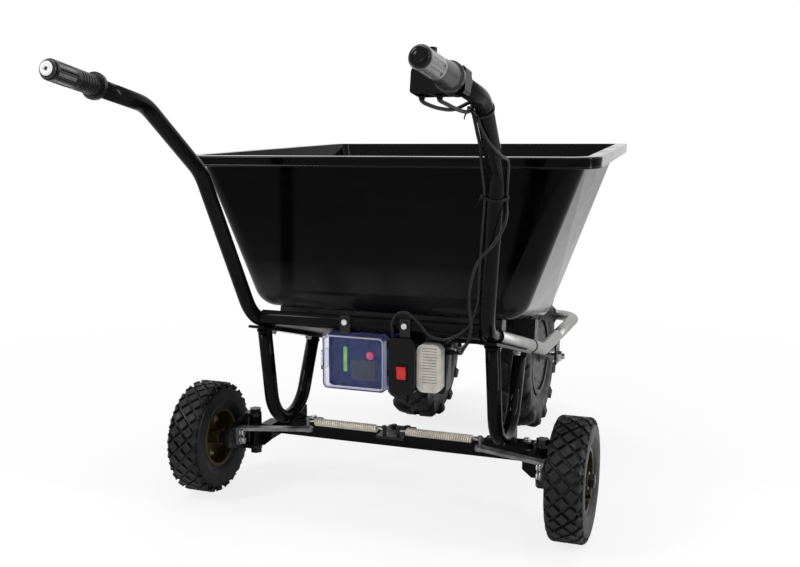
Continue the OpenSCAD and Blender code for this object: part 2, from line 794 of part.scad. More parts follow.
module drop_plate(x, top) {
  difference() {
    block([x - drop_t / 2, front_y - drop_w / 2, front_axle_z - drop_below],
      [x + drop_t / 2, front_y + drop_w / 2, top]);
    translate([x - drop_t, front_y, front_axle_z]) rotate([0, 90, 0])
      cylinder(h = drop_t * 2, d = axle_d + seat);
  }
}
module dropout(s) {
  color(dark_steel) sided(s) difference() {
    drop_plate(outer_drop_x, rail_z);
    translate([rail_x, front_y - drop_w, rail_z]) rotate([-90, 0, 0])
      cylinder(h = drop_w * 2, d = rail_d + seat * 2);
  }
}
module dropout_left() {
  dropout(-1);
}
module dropout_right() {
  dropout(1);
}

// bars between the wheels that carry the inner drop-outs
carrier_low = rail_z + rail_d / 2 + seat;
module carrier(s) {
  color(dark_steel) sided(s) {
    difference() {
      block([inner_drop_x - carrier_w / 2, floor_front_y - floor_r * 2, carrier_low],
        [inner_drop_x + carrier_w / 2, hoop_y + rail_d / 4, carrier_low + carrier_h]);
      under_floor() block([-rail_x, -floor_rear_y, -bearer_front_h * 3],
        [rail_x, bearer_front_at + bearer_w + seat, floor_r]);
    }
    drop_plate(inner_drop_x, carrier_low + over);
  }
}
module carrier_left() {
  carrier(-1);
}
module carrier_right() {
  carrier(1);
}

// bars across the rails that carry the tub
module bearer(at, h) {
  color(dark_steel) placed() difference() {
    under_floor() block([-rail_x, at, -h], [rail_x, at + bearer_w, -seat]);
    block([-case_left - case_r, -case_back, case_low],
      [case_right + case_r, case_front + case_r, case_top + seat]);
    for (s = [-1, 1]) on_rail(s * rail_x) translate([0, rail_turn_y, 0]) rotate([90, 0, 0])
      cylinder(h = rail_turn_y * 3, d = rail_d + seat * 2);
  }
}
module bearer_rear() {
  bearer(bearer_rear_at, bearer_rear_h);
}
module bearer_front() {
  bearer(bearer_front_at, bearer_front_h);
}

// tub: one hull for the outside, one for the inside, and a turned-down rim
top_rear_x = rim_rear_x - rim_w - tub_corner;
top_front_x = rim_front_x - rim_w - tub_corner;
top_rear_y = rim_w + tub_corner - rim_back;
top_front_y = rim_front_y - rim_w - tub_corner;
module tub_form(low_r, top_r, from, rise) {
  hull() for (s = [-1, 1]) {
    if (low_r > 0) translate([s * floor_rear_x, floor_rear_y, floor_rear_z])
      sphere(r = low_r, $fn = hull_fn);
    if (low_r > 0) translate([s * floor_front_x, floor_front_y, floor_front_z])
      sphere(r = low_r, $fn = hull_fn);
    translate([s * top_rear_x, top_rear_y, rim_rear_z + from])
      cylinder(h = rise, r = top_r, $fn = hull_fn);
    translate([s * top_front_x, top_front_y, rim_front_z + from])
      cylinder(h = rise, r = top_r, $fn = hull_fn);
  }
}
module tub() {
  color(gloss_black) placed() difference() {
    union() {
      tub_form(floor_r, tub_corner, -wall, wall);
      difference() {
        tub_form(0, tub_corner + rim_w, -lip_h, lip_h);
        tub_form(0, tub_corner + rim_w - wall, -lip_h - over, lip_h + over - wall);
      }
    }
    tub_form(floor_r - wall, tub_corner - wall, 0, over);
  }
}

// bolts on the frame
module frame_bolts() {
  color(zinc) placed() for (s = [-1, 1]) scale_side(s) {
    for (y = [leg_top_back * 0.6, leg_top_y - leg_top_back]) on_rail(rail_x)
      translate([0, along_rail(y), -leg_low - leg_plate - seat]) rotate([180, 0, 0]) bolt_head();
    for (k = [-1, 1])
      translate([rail_x + k * foot_half * 0.68, beam_y, beam_top + leg_plate + seat * 2]) bolt_head();
  }
  color(zinc) placed() for (x = [-hanger_left, hanger_right])
    translate([x, hanger_back - hanger_t - seat, cross_z + hanger_w * 0.2]) rotate([90, 0, 0]) bolt_head();
}

// battery case, open at the back, and what is in it
module battery_case() {
  color(navy) placed() difference() {
    union() {
      long_box(-case_left, case_right, -case_back, case_front, case_low, case_top, case_r);
      block([-case_left - keeper_out, -case_back + case_wall, latch_z - latch_h / 2],
        [-case_left + case_wall / 2, -case_back + case_wall * 2, latch_z + latch_h / 2]);
    }
    long_box(-case_left + case_wall, case_right - case_wall, -case_back - over, case_front - case_wall,
      case_low + case_wall, case_top - case_wall, case_r - case_wall);
  }
}
pack_face = -case_back + case_wall;
module battery_pack() {
  color(navy) placed() difference() {
    long_box(-case_left + case_wall + seat, case_right - case_wall - seat, pack_face,
      case_front - case_wall - seat, case_low + case_wall + seat, case_top - case_wall - seat,
      case_r - case_wall);
    translate([button_x, pack_face + case_wall, button_z]) rotate([90, 0, 0])
      cylinder(h = case_wall + over, d = mark_w * 2 + fit * 2);
  }
}
mark_x = -case_left + (case_left + case_right) * 0.27;
mark_w = case_wall * 2;
mark_t = case_wall * 0.5;
module level_bar() {
  mid = (case_low + case_top) / 2;
  high = (case_top - case_low) * 0.22;
  color(green) placed() block([mark_x - mark_w / 2, pack_face - mark_t, mid - high],
    [mark_x + mark_w / 2, pack_face - seat, mid + high]);
}
button_x = mark_x + (case_left + case_right) * 0.42;
button_z = (case_low + case_top) / 2 + (case_top - case_low) * 0.1;
module level_button() {
  color(red) placed() translate([button_x, pack_face + case_wall / 4, button_z]) rotate([90, 0, 0])
    cylinder(h = mark_w, d = mark_w * 2);
}

// clear lid with its hinge knuckles on the right edge
hinge_x = case_right + hinge_off;
lid_face = -case_back - seat - free_gap - lid_deep;
lid_left = -case_left - over;
lid_right = hinge_x - hinge_d / 2 - free_gap / 2;
lid_low = case_low + case_wall / 2;
lid_top = case_top - case_wall / 2;
knuckle_shares = [0.16, 0.68];
pin_shares = [0.3, 0.82];
knuckle_share = 0.13;
module battery_lid() {
  high = lid_top - lid_low;
  color(clear) placed() {
    difference() {
      long_box(lid_left, lid_right, lid_face, lid_face + lid_deep, lid_low, lid_top, case_r);
      long_box(lid_left + lid_wall, lid_right - lid_wall, lid_face + lid_wall, lid_face + lid_deep + over,
        lid_low + lid_wall, lid_top - lid_wall, case_r - lid_wall);
    }
    for (k = knuckle_shares) {
      translate([hinge_x, lid_face + hinge_d / 2, lid_low + high * k])
        cylinder(h = high * knuckle_share, d = hinge_d);
      block([lid_right - over / 2, lid_face, lid_low + high * k],
        [hinge_x, lid_face + lid_wall, lid_low + high * (k + knuckle_share)]);
    }
  }
}
latch_h = (lid_top - lid_low) * 0.34;
latch_z = (lid_top + lid_low) / 2;
latch_d = hinge_d;
// ridge on the case that the latch lies against
keeper_out = over + latch_d / 2 - seat;
module lid_latch() {
  x = lid_left - latch_d / 2 - seat;
  color(clear) placed() {
    translate([x, lid_face + latch_d, latch_z - latch_h / 2]) cylinder(h = latch_h, d = latch_d);
    block([x - latch_d / 2, lid_face + latch_d, latch_z - latch_h / 2],
      [x, lid_face + lid_deep + latch_d * 2, latch_z + latch_h / 2]);
  }
}

// controller: a black housing with the switch box on its back, and a finned plate beside that
control_left = hinge_x + control_off;
control_right = control_left + control_wide;
cap_line = -control_back + rear_cap;
control_front = cap_line + control_deep;
heat_left = control_right + seat * 5;
heat_right = heat_left + heat_w;
heat_out = heat_right + bezel_rim;
heat_low = case_low + heat_w * 0.18;
heat_top = case_top - heat_w * 0.22;
heat_back = -control_back + heat_step;
module controller_body() {
  first = heat_low + heat_r * 1.4;
  step = (heat_top - first - heat_r * 0.6) / (fin_count - 1);
  color(beige) placed() difference() {
    long_box(heat_left, heat_right, heat_back, cap_line - seat, heat_low, heat_top, heat_r);
    for (k = [0:fin_count - 1])
      block([heat_left + heat_w * 0.24, heat_back - over, first + step * k],
        [heat_right - heat_w * 0.18, heat_back + fin_deep, first + step * k + fin_t]);
  }
}
module controller_housing() {
  high = lid_top - lid_low;
  color(gloss_black) placed() {
    difference() {
      union() {
        long_box(control_left, control_right, -control_back, cap_line + over,
          case_low + over * 2, case_top, case_r);
        long_box(control_left + over / 2, heat_out, cap_line, control_front,
          case_low + over, case_top - over / 2, case_r);
        translate([gland_x, gland_y, case_top - case_r]) cylinder(h = case_r + gland_h, d = lead_d * 1.5);
      }
      translate([(control_left + control_right) / 2, -control_back, rocker_z])
        cube([rocker_w + seat * 2, rocker_rise * 5, rocker_h + seat * 2], center = true);
    }
    for (k = pin_shares) {
      translate([hinge_x, lid_face + hinge_d / 2, lid_low + high * k])
        cylinder(h = high * (knuckle_share - 0.01), d = hinge_d);
      block([hinge_x, lid_face + hinge_d / 2 - lid_wall / 2, lid_low + high * k],
        [control_left + over, lid_face + hinge_d / 2 + lid_wall / 2,
          lid_low + high * (k + knuckle_share - 0.01)]);
    }
  }
}
// gland on the switch box where the throttle lead goes in
gland_x = control_left + case_r * 0.6;
gland_y = -cross_back - cross_d / 2 - lead_d / 2 - seat * 5;
gland_h = 3;
module switch_bezel() {
  color(gloss_black) placed() translate([(control_left + control_right) / 2, -control_back - seat, rocker_z])
    rotate([90, 0, 0]) linear_extrude(height = rocker_rise / 2) difference() {
      square([rocker_w + bezel_rim * 2, rocker_h + bezel_rim * 2], center = true);
      square([rocker_w + seat * 2, rocker_h + seat * 2], center = true);
    }
}
module power_rocker() {
  color(red) placed() translate([(control_left + control_right) / 2, -control_back, rocker_z])
    rotate([90, 0, 90]) linear_extrude(height = rocker_w - free_gap, center = true)
      polygon([[rocker_rise * 1.6, 0], [0, rocker_h / 2 - free_gap],
        [-rocker_rise * 1.5, rocker_h / 2 - free_gap], [-rocker_rise * 0.7, 0],
        [-rocker_rise * 0.8, -rocker_h / 2 + free_gap], [0, -rocker_h / 2 + free_gap]]);
}

// hangers from the cross tube
hanger_back = -cross_back - cross_d / 2 - seat;
module hangers() {
  color(dark_steel) placed() for (x = [-hanger_left, hanger_right]) {
    block([x - hanger_w / 2, hanger_back - hanger_t, case_top + seat],
      [x + hanger_w / 2, hanger_back, cross_z + hanger_w * 0.8]);
    block([x - hanger_w / 2, hanger_back - hanger_t, case_top + seat],
      [x + hanger_w / 2, -case_back + hanger_w, case_top + seat + hanger_t]);
  }
}

// route of the leads, tied to the right handle tube
lead_hole = lead_d + seat * 5;
lead_off = handle_d / 2 + lead_d / 2 + seat * 5;
function tube_down(z, side) = let (t = (bend_mid_z - z) / (bend_mid_z - bend_low[2]))
  bend_mid + (bend_low - bend_mid) * t + side * lead_off * unit([-down_dir[1], down_dir[0], 0]);
function tube_fore(t, side) = bend_up + (bend_mid - bend_up) * t
  + side * lead_off * unit([-fore_dir[1], fore_dir[0], 0]);
fore_side = unit([-fore_dir[1], fore_dir[0], 0]);
fore_low = unit(cross(fore_dir, fore_side)) * (cross(fore_dir, fore_side)[1] < 0 ? 1 : -1);
// a point beside the upper bent tube, turned from its left side to below it
function tube_round(t, a, k) = bend_up + (bend_mid - bend_up) * t
  + lead_off * k * (cos(a) * fore_side + sin(a) * fore_low);
grip_side = unit([-grip_dir[1], grip_dir[0], 0]);
grip_down = unit(cross(grip_dir, grip_side)) * (cross(grip_dir, grip_side)[2] < 0 ? 1 : -1);
control_from = grip_len + free_gap;
low_share = 0.56;
left_share = 0.74;
function under_box(share) = grip_end + grip_dir * (control_from + control_len / 2)
  + grip_down * control_h * low_share + grip_side * control_w * share;
// straight length of a lead where it leaves the control box
lead_drop = 3;
function box_exit(share) = [for (k = [1:3]) under_box(share) - [0, 0, lead_drop * (k - 1) + lead_gap]];
lead_gap = seat * 6;
// leads stand off the tube by this much more where it bends
bend_share = 1.2;
// where the upper tie is, along the bent tube, and how far round it the second lead lies there
upper_tie_share = 0.12;
second_turn = 60;
throttle_route = concat(
  box_exit(0.57),
  [[258, -460, 830], [266, -424, 825], [277, -384, 825], tube_round(0.04, 0, 1.04)],
  [for (t = [upper_tie_share, 0.4, 0.6]) tube_round(t, 0, 1)],
  [tube_fore(0.82, bend_share)],
  [for (z = [680, 610, 540, 480]) tube_down(z, 1)],
  [[226, -98, 440], [205, -90, 418], [172, -88, 402], [140, -89, 408], [120, -90, 430], [97, -92, 449],
    [75, -92, 446], [gland_x, gland_y - lead_d, 424], [gland_x, gland_y, 411],
    [gland_x, gland_y, case_top + gland_h + seat * 2]]);
second_route = concat(
  box_exit(0.24),
  [[287, -450, 829], [291, -412, 823], [294, -376, 821]],
  [tube_round(0.02, 54, 1.3), tube_round(upper_tie_share, second_turn, 1)],
  [for (k = [[0.26, 74, 1.02], [0.4, 94, 1.03], [0.53, 118, 1.04], [0.65, 144, 1.08]])
    tube_round(k[0], k[1], k[2])],
  [tube_fore(0.82, -bend_share), tube_down(680, -1)],
  [[308, -172, 640], [289, -178, 600], [258, -170, 565], [240, -154, 520], [232, -134, 478], [233, -122, 440],
    [222, -104, 405], [207, -82, 384], [196, -58, 371], [188, -40, 365], [178, -34, 365],
    [heat_out + seat * 2, -34, 365]]);
axle_tip = inner_drop_x - drop_t / 2 - nut_h * 1.7 - seat * 4;
motor_route = [[axle_tip, front_y, front_axle_z], [axle_tip - lead_drop, front_y, front_axle_z],
  [axle_tip - lead_drop * 2, front_y, front_axle_z], [36, 722, 214], [42, 688, 252], [46, 640, 268],
  [50, 550, 272], [52, 460, 270], [56, 400, 275], [60, 320, 305],
  [66, 240, 329], [70, 180, 340], [72, 110, 345], [74, 40, 345], [74, control_front + lead_drop * 4, 345],
  [74, control_front + seat * 2, 345]];
left_motor_route = [for (p = motor_route) [-p[0], p[1], p[2]]];
left_route = concat([for (i = [0:8]) left_motor_route[i]], [[-40, 320, 298], [10, 250, 308], [50, 195, 318],
  [66, 120, 322], [72, 50, 323], [74, control_front + lead_drop * 4, 323],
  [74, control_front + seat * 2, 323]]);
module throttle_lead() {
  color(rubber) placed() swept(smooth_route(throttle_route, 3), lead_d, lead_sides);
}
module second_lead() {
  color(rubber) placed() swept(smooth_route(second_route, 3), lead_d, lead_sides);
}
module motor_leads() {
  color(rubber) placed() {
    swept(smooth_route(motor_route, 2), motor_lead_d, lead_sides);
    swept(smooth_route(left_route, 2), motor_lead_d, lead_sides);
  }
}
// height of the lower tie
tie_z = 680;
// a strap pulled round the tube and the leads, which lie at the given turns from its left side
module tie_outline(t, turns) {
  hull() {
    circle(d = handle_d + seat * 2 + t * 2);
    for (a = turns) translate(lead_off * [sin(a), cos(a)]) circle(d = lead_hole + t * 2);
  }
}
module tie(turns) {
  linear_extrude(height = tie_w, center = true) difference() {
    tie_outline(tie_t, turns);
    tie_outline(0, turns);
  }
}
module lead_ties() {
  color(rubber) placed() {
    aimed(bend_up + (bend_mid - bend_up) * upper_tie_share, fore_dir) tie([0, second_turn]);
    aimed(tube_down(tie_z, 0), down_dir) tie([0, 180]);
  }
}

// grips: plain outer half, ribbed inner half and a flange
half_len = grip_len * 0.5;
module grip_outer() {
  difference() {
    cylinder(h = half_len, d = grip_d);
    translate([0, 0, -over]) cylinder(h = grip_len, d = bar_d + seat * 2);
    for (k = [0:7]) rotate([0, 0, 45 * k]) translate([grip_d / 2 + grip_rib, 0, half_len * 0.12])
      cylinder(h = half_len * 0.76, d = grip_rib * 4);
  }
}
module grip_inner(from) {
  long = grip_len - from;
  ribs = 7;
  difference() {
    union() {
      translate([0, 0, from]) cylinder(h = long, d = grip_d - grip_rib * 2);
      for (k = [0:ribs - 1]) translate([0, 0, from + long * 0.84 * k / ribs])
        cylinder(h = long * 0.5 / ribs, d = grip_d);
      translate([0, 0, grip_len - long * 0.12]) cylinder(h = long * 0.12, d = grip_flange_d);
    }
    translate([0, 0, from - over]) cylinder(h = grip_len, d = bar_d + seat * 2);
  }
}
module grip_left() {
  color(rubber) sided(-1) aimed(grip_end, grip_dir) {
    grip_outer();
    grip_inner(half_len - over / 2);
  }
}
module grip_right() {
  color(rubber) sided(1) aimed(grip_end, grip_dir) difference() {
    grip_outer();
    translate([-grip_d / 2 - over, 0, half_len * 0.72]) rotate([0, 90, 0])
      cylinder(h = grip_rib * 3 + over, d = thumb_d + fit * 2);
  }
}
module throttle_sleeve() {
  from = half_len + free_gap;
  long = grip_len - from;
  color(rubber) sided(1) aimed(grip_end, grip_dir) difference() {
    union() {
      translate([0, 0, from]) cylinder(h = long, d1 = grip_d, d2 = grip_flange_d * 0.9);
      translate([0, 0, grip_len - long * 0.14]) cylinder(h = long * 0.14, d = grip_flange_d);
    }
    translate([0, 0, from - over]) cylinder(h = grip_len, d = bar_d + seat * 2);
  }
}
module thumb_button() {
  color(red) sided(1) aimed(grip_end, grip_dir) translate([-grip_d / 2 - thumb_rise, 0, half_len * 0.72])
    rotate([0, 90, 0]) cylinder(h = thumb_rise + grip_rib, d = thumb_d);
}
module grip_caps() {
  color(zinc) for (s = [-1, 1]) sided(s) aimed(grip_end, grip_dir) difference() {
    translate([0, 0, -cap_t]) cylinder(h = cap_t - seat, d = grip_d * 0.86);
    translate([0, 0, -cap_t - over]) cylinder(h = cap_t * 0.7 + over, d = bar_d * 0.42);
  }
}
// box beside the right grip, clamped on the tube with a round collar
module control_box() {
  color(gloss_black) sided(1) aimed(grip_end, grip_dir) difference() {
    translate([0, 0, control_from]) {
      translate([control_h * (low_share - 0.5), control_w * (left_share - 0.5), 0])
        linear_extrude(height = control_len) rounded_square(control_h, control_w, control_h * 0.16);
      cylinder(h = control_len * 1.3, d = handle_d + wall * 3);
    }
    translate([0, 0, control_from - over]) cylinder(h = control_len * 2, d = handle_d + seat * 2);
  }
}

handle_left();
handle_right();
rear_cross_tube();
rail_left();
rail_right();
front_hoop();
leg_left();
leg_right();
rear_beam();
spring_anchor();
bearer_rear();
bearer_front();
carrier_left();
carrier_right();
dropout_left();
dropout_right();
axle_left();
axle_right();
tub();
frame_bolts();
battery_case();
battery_pack();
level_bar();
level_button();
battery_lid();
lid_latch();
controller_body();
controller_housing();
switch_bezel();
power_rocker();
hangers();
throttle_lead();
second_lead();
motor_leads();
lead_ties();
grip_left();
grip_right();
grip_caps();
control_box();
throttle_sleeve();
thumb_button();
knuckle_left();
knuckle_right();
spring_arm_left();
spring_arm_right();
return_spring_left();
return_spring_right();
rear_tyre_left();
rear_tyre_right();
rear_rim_left();
rear_rim_right();
front_tyre_left();
front_tyre_right();
front_hub_left();
front_hub_right();
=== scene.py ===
import math

import bmesh
import bpy
import numpy as np
from mathutils import Matrix, Vector


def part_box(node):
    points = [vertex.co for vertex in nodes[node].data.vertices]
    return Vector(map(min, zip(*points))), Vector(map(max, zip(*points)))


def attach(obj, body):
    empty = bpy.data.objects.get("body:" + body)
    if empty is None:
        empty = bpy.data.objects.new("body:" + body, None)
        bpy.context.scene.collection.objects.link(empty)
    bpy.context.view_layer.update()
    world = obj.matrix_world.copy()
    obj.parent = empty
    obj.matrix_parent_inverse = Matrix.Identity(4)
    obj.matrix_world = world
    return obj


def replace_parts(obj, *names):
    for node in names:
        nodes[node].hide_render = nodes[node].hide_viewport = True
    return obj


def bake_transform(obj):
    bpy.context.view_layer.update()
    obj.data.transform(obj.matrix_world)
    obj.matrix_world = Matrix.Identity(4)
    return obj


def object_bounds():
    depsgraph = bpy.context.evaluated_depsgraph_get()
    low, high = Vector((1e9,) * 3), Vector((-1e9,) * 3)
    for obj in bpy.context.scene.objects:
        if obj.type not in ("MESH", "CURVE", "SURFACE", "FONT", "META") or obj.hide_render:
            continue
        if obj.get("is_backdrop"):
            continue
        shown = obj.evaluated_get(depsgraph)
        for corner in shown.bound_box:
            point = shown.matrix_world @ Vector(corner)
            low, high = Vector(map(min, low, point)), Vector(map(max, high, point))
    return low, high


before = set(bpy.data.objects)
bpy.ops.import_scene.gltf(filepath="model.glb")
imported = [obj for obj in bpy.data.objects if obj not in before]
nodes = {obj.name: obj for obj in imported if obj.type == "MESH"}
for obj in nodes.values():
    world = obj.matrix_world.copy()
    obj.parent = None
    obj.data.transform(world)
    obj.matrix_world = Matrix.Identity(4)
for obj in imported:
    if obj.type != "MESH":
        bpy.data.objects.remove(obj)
cad_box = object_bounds()
scene = bpy.context.scene

MM = 0.001
MID = 175.44  # the row frame's origin, in mm ahead of the rear wheel line
ROUND = 2 * math.pi
SIDES = (("left", -1), ("right", 1))
WHITE = (1, 1, 1, 1)


def P(x, y, z):
    """A point given in mm, with y from the rear wheel line, as metres in the row frame."""
    return np.array([x, y - MID, z], float) * MM


# Camera and light

CAMERA_AT = (0.7045, -1.9677, 0.7718)
CAMERA_DOWN, CAMERA_LEFT = math.radians(8.34), math.radians(20.13)
CAMERA_LENS = 42.67
SOFT_LIGHT = 0.62
FLOOR_HALF, FLOOR_DROP = 14, 0.0005
FLOOR_GREY = (0.86, 0.86, 0.86, 1)
FLOOR_FADE = (0.8, 2.6)   # metres from the middle over which the shadow fades out
FLOOR_WHITE = (0.8, 1.0)  # share of plain white that the camera sees at those two distances
LAMPS = (  # name, place, aim, size in metres, watts
    ("key", (-2.4, -2.6, 3.4), (0, 0, 0.4), (0.7, 1.6), 66),
    ("side", (3.6, -0.4, 1.6), (0.2, 0, 0.5), (0.24, 2.6), 60),
    ("top", (0.2, 0.4, 4.2), (0, 0, 0.3), (2.6, 0.7), 60),
)


def set_camera():
    data = bpy.data.cameras.new("camera")
    cam = bpy.data.objects.new("camera", data)
    scene.collection.objects.link(cam)
    data.sensor_fit = "HORIZONTAL"
    data.sensor_width = 36.0
    data.lens = CAMERA_LENS
    data.clip_end = 60
    cam.location = CAMERA_AT
    cam.rotation_euler = (math.pi / 2 - CAMERA_DOWN, 0, CAMERA_LEFT)
    scene.camera = cam


def area_light(name, place, aim, size, power):
    data = bpy.data.lights.new(name, "AREA")
    data.shape = "RECTANGLE"
    data.size, data.size_y = size
    data.energy = power
    obj = bpy.data.objects.new(name, data)
    scene.collection.objects.link(obj)
    obj.location = place
    obj.rotation_euler = (Vector(aim) - Vector(place)).to_track_quat("-Z", "Y").to_euler()


def set_world():
    """Soft white light, and plain white for what the camera, metal and glass see."""
    world = bpy.data.worlds.new("studio")
    scene.world = world
    world.use_nodes = True
    nt = world.node_tree
    nt.nodes.clear()
    out = nt.nodes.new("ShaderNodeOutputWorld")
    soft = nt.nodes.new("ShaderNodeBackground")
    soft.inputs["Color"].default_value = WHITE
    soft.inputs["Strength"].default_value = SOFT_LIGHT
    seen = nt.nodes.new("ShaderNodeBackground")
    seen.inputs["Color"].default_value = WHITE
    seen.inputs["Strength"].default_value = 1.0
    path = nt.nodes.new("ShaderNodeLightPath")
    first = nt.nodes.new("ShaderNodeMath")
    first.operation = "MAXIMUM"
    second = nt.nodes.new("ShaderNodeMath")
    second.operation = "MAXIMUM"
    mix = nt.nodes.new("ShaderNodeMixShader")
    nt.links.new(path.outputs["Is Camera Ray"], first.inputs[0])
    nt.links.new(path.outputs["Is Transmission Ray"], first.inputs[1])
    nt.links.new(first.outputs[0], second.inputs[0])
    nt.links.new(path.outputs["Is Glossy Ray"], second.inputs[1])
    nt.links.new(second.outputs[0], mix.inputs["Fac"])
    nt.links.new(soft.outputs[0], mix.inputs[1])
    nt.links.new(seen.outputs[0], mix.inputs[2])
    nt.links.new(mix.outputs[0], out.inputs["Surface"])


def set_floor():
    """A pale floor that keeps a faint shadow near the object."""
    mesh = bpy.data.meshes.new("floor")
    s = FLOOR_HALF
    mesh.from_pydata([(-s, -s, 0), (s, -s, 0), (s, s, 0), (-s, s, 0)], [], [(0, 1, 2, 3)])
    floor = bpy.data.objects.new("floor", mesh)
    scene.collection.objects.link(floor)
    floor.location.z = -FLOOR_DROP
    m = bpy.data.materials.new("floor")
    m.use_nodes = True
    nt = m.node_tree
    nt.nodes.clear()
    out = nt.nodes.new("ShaderNodeOutputMaterial")
    lit = nt.nodes.new("ShaderNodeBsdfDiffuse")
    lit.inputs["Color"].default_value = FLOOR_GREY
    glow = nt.nodes.new("ShaderNodeEmission")
    glow.inputs["Color"].default_value = WHITE
    glow.inputs["Strength"].default_value = 1.0
    path = nt.nodes.new("ShaderNodeLightPath")
    coord = nt.nodes.new("ShaderNodeTexCoord")
    far = nt.nodes.new("ShaderNodeVectorMath")
    far.operation = "LENGTH"
    fade = nt.nodes.new("ShaderNodeMapRange")
    fade.inputs["From Min"].default_value, fade.inputs["From Max"].default_value = FLOOR_FADE
    fade.inputs["To Min"].default_value, fade.inputs["To Max"].default_value = FLOOR_WHITE
    share = nt.nodes.new("ShaderNodeMath")
    share.operation = "MULTIPLY"
    mix = nt.nodes.new("ShaderNodeMixShader")
    nt.links.new(coord.outputs["Object"], far.inputs[0])
    nt.links.new(far.outputs["Value"], fade.inputs["Value"])
    nt.links.new(fade.outputs["Result"], share.inputs[1])
    nt.links.new(path.outputs["Is Camera Ray"], share.inputs[0])
    nt.links.new(share.outputs[0], mix.inputs["Fac"])
    nt.links.new(lit.outputs[0], mix.inputs[1])
    nt.links.new(glow.outputs[0], mix.inputs[2])
    nt.links.new(mix.outputs[0], out.inputs["Surface"])
    mesh.materials.append(m)
    floor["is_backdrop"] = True


scene.view_settings.view_transform = "Standard"
set_camera()
set_world()
set_floor()
for lamp in LAMPS:
    area_light(*lamp)

# Materials


class Paint:
    """A node material: one shader with noise in its colour, roughness and bump.

    Noise is given by scale and detail, a span of it by a and b, and bump by strength and metres.
    """

    COAT_ROUGH = 0.06

    def __init__(self, name, metallic=0.0, coat=0.0, transmission=0.0, ior=1.5, spec=0.5):
        self.m = bpy.data.materials.new(name)
        self.m.use_nodes = True
        self.nt = self.m.node_tree
        self.bsdf = next(n for n in self.nt.nodes if n.type == "BSDF_PRINCIPLED")
        self.bsdf.inputs["Metallic"].default_value = metallic
        self.bsdf.inputs["Coat Weight"].default_value = coat
        self.bsdf.inputs["Coat Roughness"].default_value = self.COAT_ROUGH
        self.bsdf.inputs["Transmission Weight"].default_value = transmission
        self.bsdf.inputs["IOR"].default_value = ior
        self.bsdf.inputs["Specular IOR Level"].default_value = spec
        self.coord = self.nt.nodes.new("ShaderNodeTexCoord")
        self.height = None

    def noise(self, scale, detail, stretch=None):
        n = self.nt.nodes.new("ShaderNodeTexNoise")
        n.inputs["Scale"].default_value = scale
        n.inputs["Detail"].default_value = detail
        source = self.coord.outputs["Object"]
        if stretch:
            mp = self.nt.nodes.new("ShaderNodeMapping")
            mp.inputs["Scale"].default_value = stretch
            self.nt.links.new(source, mp.inputs["Vector"])
            source = mp.outputs["Vector"]
        self.nt.links.new(source, n.inputs["Vector"])
        return n.outputs["Fac"]

    def cells(self, scale):
        n = self.nt.nodes.new("ShaderNodeTexVoronoi")
        n.inputs["Scale"].default_value = scale
        self.nt.links.new(self.coord.outputs["Object"], n.inputs["Vector"])
        grey = self.nt.nodes.new("ShaderNodeRGBToBW")
        self.nt.links.new(n.outputs["Color"], grey.inputs[0])
        return grey.outputs[0]

    def spread(self, fac, low, high, a=0.35, b=0.65):
        r = self.nt.nodes.new("ShaderNodeMapRange")
        r.inputs["From Min"].default_value = a
        r.inputs["From Max"].default_value = b
        r.inputs["To Min"].default_value = low
        r.inputs["To Max"].default_value = high
        self.nt.links.new(fac, r.inputs["Value"])
        return r.outputs["Result"]

    def colour(self, fac, first, second, a=0.35, b=0.65):
        ramp = self.nt.nodes.new("ShaderNodeValToRGB")
        ramp.color_ramp.elements[0].position = a
        ramp.color_ramp.elements[1].position = b
        ramp.color_ramp.elements[0].color = (*first, 1)
        ramp.color_ramp.elements[1].color = (*second, 1)
        self.nt.links.new(fac, ramp.inputs["Fac"])
        self.shade = ramp.outputs["Color"]
        self.nt.links.new(self.shade, self.bsdf.inputs["Base Color"])
        return self

    def dust_and_painted_reflection(self, colour, low, high, most, scale=35):
        """Lightens the lower part towards one colour: full at height low, none at height high. On the tyres this is
        dust; on the tub it is a painted reflection of the floor.
        """
        sep = self.nt.nodes.new("ShaderNodeSeparateXYZ")
        self.nt.links.new(self.coord.outputs["Object"], sep.inputs[0])
        fall = self.spread(sep.outputs["Z"], most, 0.0, low, high)
        fall.node.clamp = True
        patch = self.spread(self.noise(scale, 5), 0.2, 1.0)
        mul = self.nt.nodes.new("ShaderNodeMath")
        mul.operation = "MULTIPLY"
        self.nt.links.new(fall, mul.inputs[0])
        self.nt.links.new(patch, mul.inputs[1])
        mix = self.nt.nodes.new("ShaderNodeMix")
        mix.data_type = "RGBA"
        mix.inputs["B"].default_value = (*colour, 1)
        self.nt.links.new(mul.outputs[0], mix.inputs["Factor"])
        self.nt.links.new(self.shade, mix.inputs["A"])
        self.shade = mix.outputs["Result"]
        self.nt.links.new(self.shade, self.bsdf.inputs["Base Color"])
        return self

    def rough(self, fac, low, high, a=0.35, b=0.65):
        self.nt.links.new(self.spread(fac, low, high, a, b), self.bsdf.inputs["Roughness"])
        return self

    def bump(self, fac, strength, distance):
        b = self.nt.nodes.new("ShaderNodeBump")
        b.inputs["Strength"].default_value = strength
        b.inputs["Distance"].default_value = distance
        self.nt.links.new(fac, b.inputs["Height"])
        if self.height:
            self.nt.links.new(self.height, b.inputs["Normal"])
        self.height = b.outputs["Normal"]
        self.nt.links.new(self.height, self.bsdf.inputs["Normal"])
        return self


